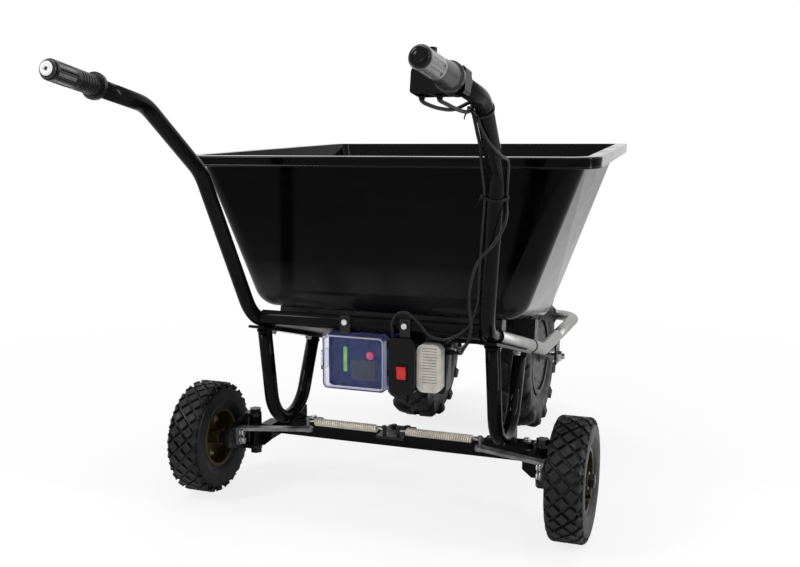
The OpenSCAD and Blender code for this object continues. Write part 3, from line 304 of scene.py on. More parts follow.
def make_materials():
    M = {}
    p = Paint("gloss_paint", spec=0.06)
    p.colour(p.noise(9, 4), (0.0022, 0.0022, 0.0025), (0.005, 0.005, 0.0055))
    p.rough(p.noise(26, 4), 0.07, 0.14).bump(p.noise(900, 2), 0.03, 0.0003)
    p.bump(p.noise(14, 2), 0.03, 0.001)
    M["gloss"] = p.m
    p = Paint("tub_plastic", spec=0.07)
    p.colour(p.noise(5, 4), (0.0008, 0.0008, 0.0009), (0.0018, 0.0018, 0.002))
    # lighter lower band of the tub: painted reflection of the floor on its lower rounding
    p.dust_and_painted_reflection((0.07, 0.07, 0.07), 0.425, 0.53, 0.6, 6)
    p.rough(p.noise(11, 5, (1, 1, 3)), 0.07, 0.15).bump(p.noise(700, 2), 0.03, 0.0003)
    p.bump(p.noise(3.5, 2), 0.06, 0.004)
    M["tub"] = p.m
    p = Paint("gloss_moulding", spec=0.13)
    p.colour(p.noise(5, 4), (0.0016, 0.0016, 0.0018), (0.0036, 0.0036, 0.004))
    p.rough(p.noise(30, 4), 0.05, 0.11).bump(p.noise(700, 2), 0.03, 0.0003)
    M["sheen"] = p.m
    p = Paint("dark_steel", spec=0.24)
    p.colour(p.noise(30, 5), (0.006, 0.006, 0.0062), (0.0098, 0.0097, 0.0096))
    p.rough(p.noise(60, 4), 0.2, 0.4).bump(p.noise(500, 3), 0.12, 0.0004)
    M["dark"] = p.m
    p = Paint("galvanised", metallic=0.9)
    p.colour(p.cells(70), (0.28, 0.278, 0.275), (0.36, 0.356, 0.352), 0.1, 0.9)
    p.rough(p.cells(70), 0.34, 0.5, 0.1, 0.9).bump(p.noise(240, 3), 0.08, 0.0005)
    M["galvanised"] = p.m
    p = Paint("zinc", metallic=1.0)
    p.colour(p.noise(70, 4), (0.5, 0.5, 0.51), (0.72, 0.72, 0.72))
    p.rough(p.noise(120, 3), 0.2, 0.38).bump(p.noise(500, 2), 0.06, 0.0003)
    M["zinc"] = p.m
    # grey steel of the spring arms; also colours the left grip's strips, where the grey is a painted highlight
    p = Paint("arm_steel_and_grip_highlight", metallic=0.7)
    p.colour(p.noise(45, 4), (0.13, 0.13, 0.13), (0.24, 0.24, 0.24))
    p.rough(p.noise(60, 3), 0.35, 0.55).bump(p.noise(420, 2), 0.1, 0.0004)
    M["arm"] = p.m
    p = Paint("spring_steel", metallic=0.45)
    p.colour(p.noise(80, 3), (0.68, 0.62, 0.54), (0.86, 0.8, 0.71))
    p.rough(p.noise(90, 3), 0.3, 0.45).bump(p.noise(600, 2), 0.06, 0.0003)
    M["spring"] = p.m
    p = Paint("tyre_rubber", spec=0.24)
    p.colour(p.noise(40, 5), (0.003, 0.003, 0.003), (0.008, 0.008, 0.0082))
    p.dust_and_painted_reflection((0.03, 0.029, 0.027), 0.0, 0.12, 0.3)
    p.rough(p.noise(50, 4), 0.36, 0.56).bump(p.noise(420, 4), 0.3, 0.0006)
    M["tyre"] = p.m
    p = Paint("gold_rim", metallic=0.8)
    p.colour(p.noise(50, 4), (0.05, 0.038, 0.015), (0.1, 0.076, 0.032))
    p.rough(p.noise(80, 3), 0.3, 0.48).bump(p.noise(420, 2), 0.08, 0.0004)
    M["gold"] = p.m
    p = Paint("hub_cast", metallic=0.2, spec=0.3)
    p.colour(p.noise(60, 4), (0.006, 0.006, 0.0062), (0.016, 0.016, 0.0165))
    p.rough(p.noise(70, 3), 0.34, 0.5).bump(p.noise(380, 3), 0.22, 0.0005)
    M["hub"] = p.m
    p = Paint("navy_plastic", spec=0.25)
    p.colour(p.noise(30, 3), (0.0066, 0.019, 0.107), (0.0078, 0.0225, 0.121))
    p.rough(p.noise(60, 3), 0.2, 0.34).bump(p.noise(800, 2), 0.06, 0.0003)
    M["navy"] = p.m
    p = Paint("pack_panel", spec=0.3)
    p.colour(p.noise(40, 3), (0.03, 0.034, 0.058), (0.046, 0.051, 0.08))
    p.rough(p.noise(70, 3), 0.25, 0.4).bump(p.noise(800, 2), 0.08, 0.0003)
    M["panel"] = p.m
    p = Paint("clear_cover", transmission=0.99, ior=1.14, spec=0.14)
    p.bsdf.inputs["Base Color"].default_value = (0.93, 0.94, 1.0, 1)
    p.rough(p.noise(70, 3), 0.02, 0.08).bump(p.noise(45, 2), 0.03, 0.001)
    M["clear"] = p.m
    p = Paint("finned_alloy", metallic=0.2)
    p.colour(p.noise(60, 4, (1, 0.2, 1)), (0.42, 0.385, 0.35), (0.53, 0.49, 0.45))
    p.rough(p.noise(90, 3, (1, 0.1, 1)), 0.36, 0.5).bump(p.noise(500, 3), 0.1, 0.0004)
    M["beige"] = p.m
    p = Paint("moulded_black", spec=0.13)
    p.colour(p.noise(60, 3), (0.002, 0.002, 0.0022), (0.005, 0.005, 0.0054))
    p.rough(p.noise(90, 3), 0.2, 0.34).bump(p.noise(1500, 2), 0.14, 0.0003)
    M["moulded"] = p.m
    p = Paint("red_rocker", coat=0.15, spec=0.3)
    p.colour(p.noise(60, 2), (0.44, 0.006, 0.005), (0.58, 0.014, 0.01))
    p.rough(p.noise(100, 2), 0.16, 0.26).bump(p.noise(700, 2), 0.04, 0.0003)
    M["red"] = p.m
    p = Paint("pink_button", coat=0.4)
    p.colour(p.noise(60, 2), (0.6, 0.03, 0.14), (0.75, 0.07, 0.22))
    p.rough(p.noise(100, 2), 0.2, 0.32).bump(p.noise(700, 2), 0.04, 0.0003)
    M["pink"] = p.m
    p = Paint("green_bar", coat=0.4)
    p.colour(p.noise(60, 2), (0.15, 0.5, 0.05), (0.28, 0.66, 0.12))
    p.rough(p.noise(100, 2), 0.2, 0.34).bump(p.noise(700, 2), 0.04, 0.0003)
    M["green"] = p.m
    p = Paint("lead_sheath", spec=0.25)
    p.colour(p.noise(60, 3), (0.003, 0.003, 0.003), (0.007, 0.007, 0.0072))
    p.rough(p.noise(120, 3), 0.25, 0.4).bump(p.noise(900, 2), 0.1, 0.0003)
    M["lead"] = p.m
    p = Paint("grip_rubber", spec=0.35)
    p.colour(p.noise(70, 4), (0.006, 0.006, 0.0068), (0.014, 0.014, 0.0152))
    p.rough(p.noise(90, 3), 0.22, 0.38).bump(p.noise(1400, 2), 0.2, 0.0004)
    M["grip"] = p.m
    p = Paint("grip_satin", metallic=0.35, spec=0.5)
    p.colour(p.noise(40, 3), (0.15, 0.15, 0.152), (0.19, 0.19, 0.192))
    p.rough(p.noise(60, 3), 0.16, 0.24).bump(p.noise(900, 2), 0.06, 0.0003)
    M["satin"] = p.m
    p = Paint("sleeve_rubber", spec=0.45)
    p.colour(p.noise(50, 4), (0.014, 0.014, 0.0148), (0.026, 0.026, 0.0272))
    p.rough(p.noise(80, 3), 0.2, 0.32).bump(p.noise(1200, 2), 0.12, 0.0003)
    M["sleeve"] = p.m
    # pale lilac for the lid's edge and ribs: painted highlight lines
    p = Paint("lilac_painted_highlight", transmission=0.55, ior=1.3, spec=0.3)
    p.colour(p.noise(60, 2), (0.62, 0.64, 0.82), (0.76, 0.78, 0.92))
    p.rough(p.noise(80, 3), 0.1, 0.22).bump(p.noise(200, 2), 0.04, 0.0004)
    M["pale_lid_highlight"] = p.m
    p = Paint("cap_alloy", metallic=0.35)
    p.colour(p.noise(70, 3), (0.74, 0.74, 0.74), (0.86, 0.86, 0.86))
    p.rough(p.noise(90, 3), 0.3, 0.42).bump(p.noise(700, 2), 0.06, 0.0003)
    M["cap"] = p.m
    return M


M = make_materials()

NODE_LOOK = {
    "gloss": ["handle_left", "handle_right", "rear_cross_tube", "leg_left", "leg_right", "rear_beam"],
    "dark": ["spring_anchor", "bearer_rear", "bearer_front", "carrier_left", "carrier_right",
             "dropout_left", "dropout_right", "hangers", "knuckle_left", "knuckle_right"],
    "galvanised": ["rail_left", "rail_right", "front_hoop"],
    "zinc": ["frame_bolts", "axle_left", "axle_right"],
    "moulded": ["switch_bezel", "lead_ties", "thumb_button", "grip_caps"],
    "sheen": ["controller_housing", "control_box"],
    "arm": ["spring_arm_left", "spring_arm_right"],
    "tub": ["tub"],
    "navy": ["battery_case", "battery_pack"],
    "green": ["level_bar"],
    "pink": ["level_button"],
    "red": ["power_rocker"],
    "clear": ["battery_lid", "lid_latch"],
    "beige": ["controller_body"],
    "lead": ["throttle_lead", "second_lead", "motor_leads"],
    "grip": ["grip_left"],
    "sleeve": ["throttle_sleeve"],
    "satin": ["grip_right"],
    "spring": ["return_spring_left", "return_spring_right"],
    "tyre": ["rear_tyre_left", "rear_tyre_right", "front_tyre_left", "front_tyre_right"],
    "gold": ["rear_rim_left", "rear_rim_right"],
    "hub": ["front_hub_left", "front_hub_right"],
}
BEVEL = {  # mm
         "rear_beam": 2.0, "spring_anchor": 1.0, "knuckle_left": 1.2, "knuckle_right": 1.2, "hangers": 0.6,
         "spring_arm_left": 1.0, "spring_arm_right": 1.0, "bearer_rear": 1.5, "bearer_front": 1.5,
         "carrier_left": 1.2, "carrier_right": 1.2, "dropout_left": 1.0, "dropout_right": 1.0,
         "frame_bolts": 0.5, "axle_left": 0.8, "axle_right": 0.8, "battery_case": 1.2, "battery_pack": 1.0,
         "battery_lid": 0.8, "lid_latch": 0.7, "controller_body": 0.5, "controller_housing": 2.0,
         "switch_bezel": 0.6, "power_rocker": 0.8, "control_box": 2.5, "grip_left": 0.6, "grip_right": 0.6,
         "throttle_sleeve": 0.6, "thumb_button": 1.2, "grip_caps": 1.0, "level_bar": 0.4, "level_button": 0.8,
         "rear_rim_left": 0.8, "rear_rim_right": 0.8, "front_hub_left": 1.2, "front_hub_right": 1.2,
         "lead_ties": 0.3}


def finish_node(o, width):
    """Rounds the edges of a CAD node that stays in view."""
    weld = o.modifiers.new("weld", "WELD")
    weld.merge_threshold = 0.00001
    bev = o.modifiers.new("bevel", "BEVEL")
    bev.width = width * MM
    bev.segments = 2
    bev.limit_method = "ANGLE"
    bev.angle_limit = math.radians(35)
    wn = o.modifiers.new("normals", "WEIGHTED_NORMAL")
    wn.keep_sharp = False


for look, names in NODE_LOOK.items():
    for name in names:
        o = nodes[name]
        o.data.materials.clear()
        o.data.materials.append(M[look])
        if name in BEVEL:
            finish_node(o, BEVEL[name])

# Mesh helpers


def mesh_piece(name, verts, faces, look, body):
    """A smooth mesh that rides on a body, or on none if no body is given."""
    mesh = bpy.data.meshes.new(name)
    mesh.from_pydata([tuple(map(float, v)) for v in verts], [], [tuple(map(int, f)) for f in faces])
    mesh.validate()
    mesh.polygons.foreach_set("use_smooth", [True] * len(mesh.polygons))
    mesh.materials.append(M[look])
    mesh.update()
    obj = bpy.data.objects.new(name, mesh)
    scene.collection.objects.link(obj)
    if body:
        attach(obj, body)
    return obj


def unit(v):
    v = np.asarray(v, float)
    return v / np.linalg.norm(v)


def rounded_path(pts, radii, n):
    """A path with each corner turned into an arc of n steps; radii in mm."""
    pts = [np.asarray(p, float) for p in pts]
    out = [pts[0]]
    for i in range(1, len(pts) - 1):
        a, b = unit(pts[i] - pts[i - 1]), unit(pts[i + 1] - pts[i])
        w = math.acos(float(np.clip(a @ b, -1, 1)))
        r = radii[i] * MM
        c = pts[i] + unit(b - a) * r / math.cos(w / 2)
        s = unit(pts[i] - a * r * math.tan(w / 2) - c)
        out += [c + r * (s * math.cos(w * k / n) + a * math.sin(w * k / n)) for k in range(n + 1)]
    return out + [pts[-1]]


def smooth_route(pts, n):
    """A smooth curve through points, with n steps from each to the next."""
    pts = [np.asarray(p, float) for p in pts]
    pick = lambda i: pts[max(0, min(len(pts) - 1, i))]
    out = []
    for i in range(len(pts) - 1):
        a, b, c, d = pick(i - 1), pts[i], pts[i + 1], pick(i + 2)
        for k in range(n):
            t = k / n
            out.append(0.5 * (2 * b + (c - a) * t + (2 * a - 5 * b + 4 * c - d) * t * t
                              + (3 * b - a - 3 * c + d) * t ** 3))
    return out + [pts[-1]]


def tube_mesh(pts, d, sides):
    """A round bar of diameter d along a path, closed at both ends."""
    pts = np.array(pts)
    seg = np.diff(pts, axis=0)
    seg /= np.linalg.norm(seg, axis=1)[:, None]
    head = np.vstack([seg[0], seg[:-1] + seg[1:], seg[-1]])
    head /= np.linalg.norm(head, axis=1)[:, None]
    side = unit(np.cross(head[0], (0, 0, 1) if abs(head[0][2]) < 0.8 else (1, 0, 0)))
    ang = np.arange(sides) * ROUND / sides
    verts = []
    for i, p in enumerate(pts):
        side = unit(side - (side @ head[i]) * head[i])
        up = np.cross(head[i], side)
        verts.append(p + d / 2 * MM * (np.outer(np.cos(ang), side) + np.outer(np.sin(ang), up)))
    verts = np.vstack(verts)
    faces = []
    for i in range(len(pts) - 1):
        for k in range(sides):
            k2 = (k + 1) % sides
            faces.append((i * sides + k, i * sides + k2, (i + 1) * sides + k2, (i + 1) * sides + k))
    faces.append(tuple(range(sides - 1, -1, -1)))
    faces.append(tuple((len(pts) - 1) * sides + k for k in range(sides)))
    return verts, faces


def tube(name, pts, d, look, sides):
    v, f = tube_mesh(pts, d, sides)
    return mesh_piece(name, v, f, look, "frame")


def on_side(pts, s):
    """Points that are written for the right side, mirrored for the left."""
    return [np.array([s * p[0], p[1], p[2]]) for p in pts]


# Tubes of the frame, with the sizes of the solids in mm

TUBE_D, TUBE_SIDES = 30, 40
RAIL_X, RAIL_Z = 250, 276
RAIL_BEND_Y, RAIL_END_Y, HOOP_Y = 466, 640, 948
RAIL_TILT = math.radians(14.5)
SLOPE = math.tan(RAIL_TILT)
TUBE_GAP = 0.2  # between tubes that meet end to end


def rail_h(y):
    """Height of the rail's sloping length."""
    return RAIL_Z + (RAIL_BEND_Y - y) * SLOPE


GRIP_END, BEND_UP, BEND_MID = P(296, -602, 884), P(309, -342, 842), P(295, -187, 718)
BEND_LOW, HANDLE_FOOT = P(RAIL_X, -79, rail_h(-79)), P(RAIL_X, 0, rail_h(0))
GRIP_DIR = unit(BEND_UP - GRIP_END)
GRIP_LONG = 0.120
handle_pts = rounded_path([GRIP_END + GRIP_DIR * GRIP_LONG, BEND_UP, BEND_MID, BEND_LOW, HANDLE_FOOT],
                          [0, 85, 85, 76.5, 0], 18)
rail_pts = rounded_path([P(RAIL_X, TUBE_GAP, rail_h(TUBE_GAP)), P(RAIL_X, RAIL_BEND_Y, RAIL_Z),
                         P(RAIL_X, RAIL_END_Y - TUBE_GAP, RAIL_Z)], [0, 33, 0], 12)
hoop_pts = rounded_path([P(RAIL_X, RAIL_END_Y, RAIL_Z), P(RAIL_X, HOOP_Y, RAIL_Z),
                         P(-RAIL_X, HOOP_Y, RAIL_Z), P(-RAIL_X, RAIL_END_Y, RAIL_Z)], [0, 70, 70, 0], 20)
for side, s in SIDES:
    obj = tube("handle_tube_" + side, on_side(handle_pts, s), TUBE_D, "gloss", TUBE_SIDES)
    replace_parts(obj, "handle_" + side)
    obj = tube("rail_tube_" + side, on_side(rail_pts, s), TUBE_D, "galvanised", TUBE_SIDES)
    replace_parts(obj, "rail_" + side)
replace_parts(tube("hoop_tube", hoop_pts, TUBE_D, "galvanised", TUBE_SIDES), "front_hoop")

# Tyres: a turned section with its tread raised in the mesh

REAR_WHEEL, FRONT_WHEEL = (409, 0, 123), (145, 738, 200)  # centre of the right wheels
REAR_TYRE, FRONT_TYRE = (123, 62.2, 74), (189, 105.2, 100)  # outer and inner radius, width
# half a section from the bead to the crown: share of the way out, share of the half width
SECTION = np.array([[0, 0.62], [0.08, 0.8], [0.3, 0.96], [0.5, 1], [0.76, 0.99], [0.91, 0.93],
                    [0.975, 0.83], [1, 0.68], [1, 0.34], [1, 0]])


def smoothstep(a, b, x):
    t = np.clip((x - a) / (b - a), 0, 1)
    return t * t * (3 - 2 * t)


class TyreForm:
    """The outside of a tyre: a point at turn t, distance a across the section and height h above it."""

    def __init__(self, centre, outer, inner, width, flip):
        half = smooth_route([np.array([a, b, 0]) for a, b in SECTION], 8)
        share = np.array([q[0] for q in half] + [q[0] for q in half[-2::-1]]).clip(0, 1)
        x = np.array([-q[1] for q in half] + [q[1] for q in half[-2::-1]]) * width / 2
        r = inner + (outer - inner) * share
        a = np.r_[0, np.cumsum(np.hypot(np.diff(r), np.diff(x)))]
        dr, dx = np.gradient(r), np.gradient(x)
        ln = np.hypot(dr, dx)
        self.a, self.r, self.x, self.share = a - a[-1] / 2, r, x, share
        self.nr, self.nx = dx / ln, -dr / ln
        self.centre, self.flip = np.asarray(centre), flip

    def at(self, t, a, h):
        pick = lambda v: np.interp(a, self.a, v)
        r = pick(self.r) + pick(self.nr) * h
        x = (pick(self.x) + pick(self.nx) * h) * (-1 if self.flip else 1)
        return np.stack([x, r * np.sin(t), r * np.cos(t)], -1) * MM + self.centre


class Skin:
    """Vertices and faces gathered from grids of points."""

    def __init__(self):
        self.verts, self.faces, self.count = [], [], 0

    def grid(self, pts, around=False, flip=False):
        n, m = pts.shape[:2]
        self.verts.append(pts.reshape(-1, 3))
        for i in range(n if around else n - 1):
            i2 = (i + 1) % n
            for k in range(m - 1):
                q = [self.count + j for j in (i * m + k, i2 * m + k, i2 * m + k + 1, i * m + k + 1)]
                self.faces.append(q[::-1] if flip else q)
        self.count += n * m

    def piece(self, name, look, body):
        return mesh_piece(name, np.vstack(self.verts), self.faces, look, body)


def pad_lines(n, out):
    """Parameter values and height shares over a pad: foot, bevel, flat top, bevel, foot."""
    bevel = 0.84
    line = np.r_[-1 - out[1], -1 - out[0], np.linspace(-1, 1, n), 1 + out[0], 1 + out[1]]
    return line, np.r_[0, bevel, np.ones(n), bevel, 0]


def carcass(skin, form, around, across, height):
    a = np.interp(np.linspace(0, 1, across), np.linspace(0, 1, len(form.a)), form.a)
    T, A = np.meshgrid(np.arange(around) * ROUND / around, a, indexing="ij")
    skin.grid(form.at(T, A, height(A, np.interp(A, form.a, form.share))), True, form.flip)


def sidewall_lines(share):
    ring = lambda at, wide: np.exp(-((share - at) / wide) ** 2)
    return 0.9 * ring(0.2, 0.03) + 0.5 * ring(0.36, 0.02) + 0.5 * ring(0.62, 0.03)


def rear_tyre(side, s):
    """Diamond pads in seven rows, each with a shallow dish."""
    x, y, z = REAR_WHEEL
    form = TyreForm(P(s * x, y, z), *REAR_TYRE, s < 0)
    skin = Skin()
    count, wide, deep, sunk, dished = 23, 33.0, 7.0, 0.4, 1.5
    gaps = (0.145, 0.15, 0.175, 0.215)  # from the middle row outwards
    edge = np.abs(form.a[form.share >= 0.8]).max()

    def grooved(A, share):
        return sidewall_lines(share) - deep * (1 - smoothstep(edge - 3, edge + 2, np.abs(A)))

    carcass(skin, form, 138, 72, grooved)
    line, rise = pad_lines(6, (0.06, 0.16))
    S, T = np.meshgrid(line, line, indexing="ij")
    K = np.minimum(rise[:, None], rise[None, :])
    dish = dished * (1 - smoothstep(0.6, 0.98, np.maximum(np.abs(S), np.abs(T))))
    for i in range(count):
        for k in range(-3, 4):
            half = 0.5 - gaps[abs(k)]
            u = i + 0.5 * (k % 2) + (S + T) / 2 * half
            v = k / 2 + (S - T) / 2 * half
            A = np.clip(v * wide, -edge, edge)
            h = -(deep + sunk) * (1 - K) - dish
            skin.grid(form.at(u * ROUND / count, A, h), False, form.flip)
    return skin.piece("rear_tyre_tread_" + side, "tyre", "rear_wheel_" + side)


def front_tyre(side, s):
    """Slanting lugs in two rows, set half a step apart, that run down onto the sidewall."""
    x, y, z = FRONT_WHEEL
    form = TyreForm(P(s * x, y, z), *FRONT_TYRE, s < 0)
    skin = Skin()
    count, high, sunk, slant = 14, 11.0, 0.8, math.radians(40)
    start, long, bend, crown_r = 2, 66, 52, 195
    half = 9 / math.cos(slant)
    carcass(skin, form, 112, 64, lambda A, share: sidewall_lines(share))
    line, rise = pad_lines(10, (0.03, 0.06))
    cross, slope = pad_lines(5, (0.12, 0.34))
    S, T = np.meshgrid(line, cross, indexing="ij")
    K = np.minimum(rise[:, None], slope[None, :])
    run = start + (S + 1) / 2 * long
    wide = half * (0.86 + 0.24 * np.clip(run / 55, 0, 1))
    sweep = np.minimum(run, bend) * math.tan(slant) * 0.92 + T * wide
    top = high * (1 - 0.72 * smoothstep(44, 66, run))
    for m in (0, 1):
        for k in range(count):
            turn = ROUND * (k - m / 2) / count + sweep / crown_r
            pts = form.at(turn, -run if m else run, -sunk + K * (top + sunk))
            skin.grid(pts, False, form.flip != bool(m))
    return skin.piece("front_tyre_tread_" + side, "tyre", "front_wheel_" + side)


for side, s in SIDES:
    for make, node in ((rear_tyre, "rear_tyre_"), (front_tyre, "front_tyre_")):
        obj = make(side, s)
        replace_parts(obj, node + side)

# Springs: wound wire between the studs

SPRING_Y, SPRING_Z, SPRING_R, SPRING_WIRE = 75, 157, 7.0, 4
STUD_X, ANCHOR_X, HOOK, HOOK_EYE = 195.8, 20.2, 9.9, 4
SPRING_TURNS, PER_TURN = 31, 20


def spring_path():
    """The right spring's wire, from its stud to its anchor."""
    at = lambda x, dy=0.0, dz=0.0: P(x, SPRING_Y + dy, SPRING_Z + dz)
    first, last = STUD_X - HOOK - HOOK_EYE, ANCHOR_X + HOOK + HOOK_EYE
    lift, n = SPRING_R * 0.6, SPRING_TURNS * PER_TURN
    pts = [at(STUD_X), at(STUD_X - HOOK_EYE), at(STUD_X - HOOK, lift)]
    for k in range(n + 1):
        w = ROUND * k / PER_TURN
        pts.append(at(first + (last - first) * k / n, SPRING_R * math.cos(w), SPRING_R * math.sin(w)))
    return pts + [at(ANCHOR_X + HOOK, lift), at(ANCHOR_X + HOOK_EYE), at(ANCHOR_X)]


for side, s in SIDES:
    v, f = tube_mesh(on_side(spring_path(), s), SPRING_WIRE, 8)
    obj = mesh_piece("spring_wire_" + side, v, f, "spring", None)
    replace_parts(obj, "return_spring_" + side)
    tuple(P(s * 20, SPRING_Y, SPRING_Z))
    tuple(P(s * 190, SPRING_Y, SPRING_Z))
    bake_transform(obj)

# Tub: two smooth shells and a rolled rim

FLOOR = [(255, 55, 476), (220, 450, 408)]  # centres of the rounded corners, right rear and right front
TOP = [(387, 27, 748), (352, 687, 774)]
OUT_LOW_R, OUT_TOP_R, WALL = 55, 32, 4
RIM_RISE, RIM_RUN, RIM_START = TOP[1][2] - TOP[0][2], TOP[1][1] - TOP[0][1], -30
STEP = 5  # degrees


def shell_points(low_r, top_r, drop):
    pts = []
    around = [math.radians(a) for a in range(0, 360, STEP)]
    for s in (-1, 1):
        for x, y, z in FLOOR:
            for el in (math.radians(a) for a in range(-90, 1, STEP)):
                r = low_r * math.cos(el)
                pts += [(s * x + r * math.cos(az), y + r * math.sin(az), z + low_r * math.sin(el)) for az in around]
        for x, y, z in TOP:
            pts += [(s * x + top_r * math.cos(az), y + top_r * math.sin(az), z - drop) for az in around]
    return pts


def merge(bm, own):
    """Adds one mesh to another and frees it."""
    made = {v: bm.verts.new(v.co) for v in own.verts}
    for f in own.faces:
        bm.faces.new([made[v] for v in f.verts])
    own.free()


def open_shell(bm, low_r, top_r, drop, inside):
    own = bmesh.new()
    for q in shell_points(low_r, top_r, drop):
        own.verts.new(P(*q))
    out = bmesh.ops.convex_hull(own, input=own.verts)
    loose = [g for g in out["geom_interior"] if isinstance(g, bmesh.types.BMVert)]
    bmesh.ops.delete(own, geom=loose, context="VERTS")
    own.normal_update()
    tops = [f for f in own.faces if f.normal.z > 0.5]
    bmesh.ops.delete(own, geom=tops, context="FACES")
    if inside:
        bmesh.ops.reverse_faces(own, faces=own.faces)
    merge(bm, own)


def rim_z(y):
    return TOP[0][2] + RIM_RISE * min(1.0, (y - RIM_START) / RIM_RUN)


def rim_loop():
    """Corner centres of the rim and the outward directions round them."""
    (rx, ry, _), (fx, fy, _) = TOP
    a = math.degrees(math.atan2(rx - fx, fy - ry))
    n = 24
    loop = []
    for cx, cy, a0, a1 in ((rx, ry, -90, a), (fx, fy, a, 90), (-fx, fy, 90, 180 - a), (-rx, ry, 180 - a, 270)):
        for k in range(n + 1):
            w = math.radians(a0 + (a1 - a0) * k / n)
            loop.append((cx, cy, math.cos(w), math.sin(w)))
    return loop


def rim_arc(centre, r, a0, a1, n):
    turns = [math.radians(a0 + (a1 - a0) * k / n) for k in range(n + 1)]
    return [(centre[0] + r * math.cos(w), centre[1] + r * math.sin(w)) for w in turns]


# section of the rim: how far out from the wall, and how high; the glossy edges are its two arcs
RIM_IN = [(-4, -7), (-4, -2.2), (-3.4, -0.8), (-2, 0)]
RIM_EDGE = rim_arc((21.4, -3.4), 3.4, 90, 4, 8)
RIM_BEAD = rim_arc((22.2, -20.0), 2.6, 62, -140, 12)
RIM_BACK = [(20.2, -19), (20.6, -6), (18.6, -4.6), (3, -4.6), (0.6, -5.4), (0, -8)]
RIM = RIM_IN + RIM_EDGE + RIM_BEAD + RIM_BACK
RIM_GLOSS = [k for k in range(len(RIM)) if RIM[k] in RIM_EDGE[:-1] + RIM_BEAD[:-1]]


def tub_piece():
    bm = bmesh.new()
    open_shell(bm, OUT_LOW_R, OUT_TOP_R, 3, False)
    open_shell(bm, OUT_LOW_R - WALL, OUT_TOP_R - WALL, 2, True)
    rows = []
    for cx, cy, nx, ny in rim_loop():
        row = []
        for out, dz in RIM:
            x, y = cx + nx * (OUT_TOP_R + out), cy + ny * (OUT_TOP_R + out)
            row.append(bm.verts.new(P(x, y, rim_z(y) + dz)))
        rows.append(row)
    for a, b in zip(rows, rows[1:] + rows[:1]):
        for k in range(len(RIM) - 1):
            bm.faces.new((a[k], b[k], b[k + 1], a[k + 1])).material_index = int(k in RIM_GLOSS)
    mesh = bpy.data.meshes.new("tub_shell")
    for f in bm.faces:
        f.smooth = True
    bm.to_mesh(mesh)
    bm.free()
    mesh.materials.append(M["tub"])
    mesh.materials.append(M["sheen"])
    obj = bpy.data.objects.new("tub_shell", mesh)
    scene.collection.objects.link(obj)
    wn = obj.modifiers.new("normals", "WEIGHTED_NORMAL")
    wn.mode = "FACE_AREA"
    wn.weight = 100
    wn.keep_sharp = False
    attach(obj, "frame")
    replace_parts(obj, "tub")


tub_piece()

# Legs: bent tube, rail plate and foot


def soft_box(bm, low, high, radius, matrix=Matrix.Identity(4)):
    """A box between two corners in mm, with rounded edges."""
    own = bmesh.new()
    bmesh.ops.create_cube(own, size=1)
    lo, hi = np.array(low, float) * MM, np.array(high, float) * MM
    for v in own.verts:
        v.co = Vector(lo + (hi - lo) * (np.array(v.co) + 0.5))
    bmesh.ops.bevel(own, geom=own.edges[:], offset=radius * MM, segments=3, profile=0.5, affect="EDGES")
    bmesh.ops.transform(own, matrix=matrix, verts=own.verts)
    merge(bm, own)


def piece_from(bm, name, look, body):
    mesh = bpy.data.meshes.new(name)
    for f in bm.faces:
        f.smooth = True
    bmesh.ops.recalc_face_normals(bm, faces=bm.faces)
    bm.to_mesh(mesh)
    bm.free()
    mesh.materials.append(M[look])
    obj = bpy.data.objects.new(name, mesh)
    scene.collection.objects.link(obj)
    wn = obj.modifiers.new("normals", "WEIGHTED_NORMAL")
    wn.keep_sharp = False
    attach(obj, body)
    return obj


def add_tube(bm, pts, d, sides):
    v, f = tube_mesh(pts, d, sides)
    made = [bm.verts.new(q) for q in v]
    for q in f:
        bm.faces.new([made[i] for i in q])


RAIL_TURN = Matrix.Translation(P(RAIL_X, RAIL_BEND_Y, RAIL_Z)) @ Matrix.Rotation(-RAIL_TILT, 4, "X")
SHIFT = Matrix.Translation((0, -MID * MM, 0))
MIRROR = Matrix.Scale(-1, 4, (1, 0, 0))
LEG = [P(RAIL_X, -27.2, 387.5), P(RAIL_X, 10, 165), P(RAIL_X, 140, 165), P(RAIL_X, 214, 322)]


def along(y):
    """Distance along the sloping rail from its bend."""
    return (y - RAIL_BEND_Y) / math.cos(RAIL_TILT)


for side, s in SIDES:
    bm = bmesh.new()
    add_tube(bm, rounded_path(LEG, [0, 84, 84, 0], 20), TUBE_D, 36)
    soft_box(bm, (-18, along(-60), -21.2), (18, along(252), -15.2), 1.2, RAIL_TURN)
    soft_box(bm, (196, 120, 139.2), (304, 150, 145.2), 1.2, SHIFT)
    soft_box(bm, (238, 120, 145.2), (262, 150, 172.5), 1.5, SHIFT)
    if s < 0:
        bmesh.ops.transform(bm, matrix=MIRROR, verts=bm.verts)
    obj = piece_from(bm, "leg_loop_" + side, "gloss", "frame")
    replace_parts(obj, "leg_" + side)

# Leads, on the routes of the solids

LEAD_D, MOTOR_LEAD_D = 6, 8
LEAD_OFF = 19.0 * MM  # from the middle of the handle tube to the middle of a lead on it
FORE, DOWN = unit(BEND_MID - BEND_UP), unit(BEND_LOW - BEND_MID)
GRIP_SIDE, FORE_SIDE, DOWN_SIDE = (unit((-way[1], way[0], 0)) for way in (GRIP_DIR, FORE, DOWN))
GRIP_DOWN, FORE_LOW = unit(np.cross(GRIP_SIDE, GRIP_DIR)), unit(np.cross(FORE_SIDE, FORE))
BOX_AT, BOX_UNDER, BOX_WIDE = 0.132, 0.02184, 0.084  # control box: along the grip, its underside, its width
THROTTLE_EXIT, SECOND_EXIT = 0.57, 0.24  # shares of that width


def under_box(share):
    return GRIP_END + GRIP_DIR * BOX_AT + GRIP_DOWN * BOX_UNDER + GRIP_SIDE * BOX_WIDE * share


def box_exit(share):
    return [under_box(share) - np.array([0, 0, (3 * k + 1.2) * MM]) for k in range(3)]


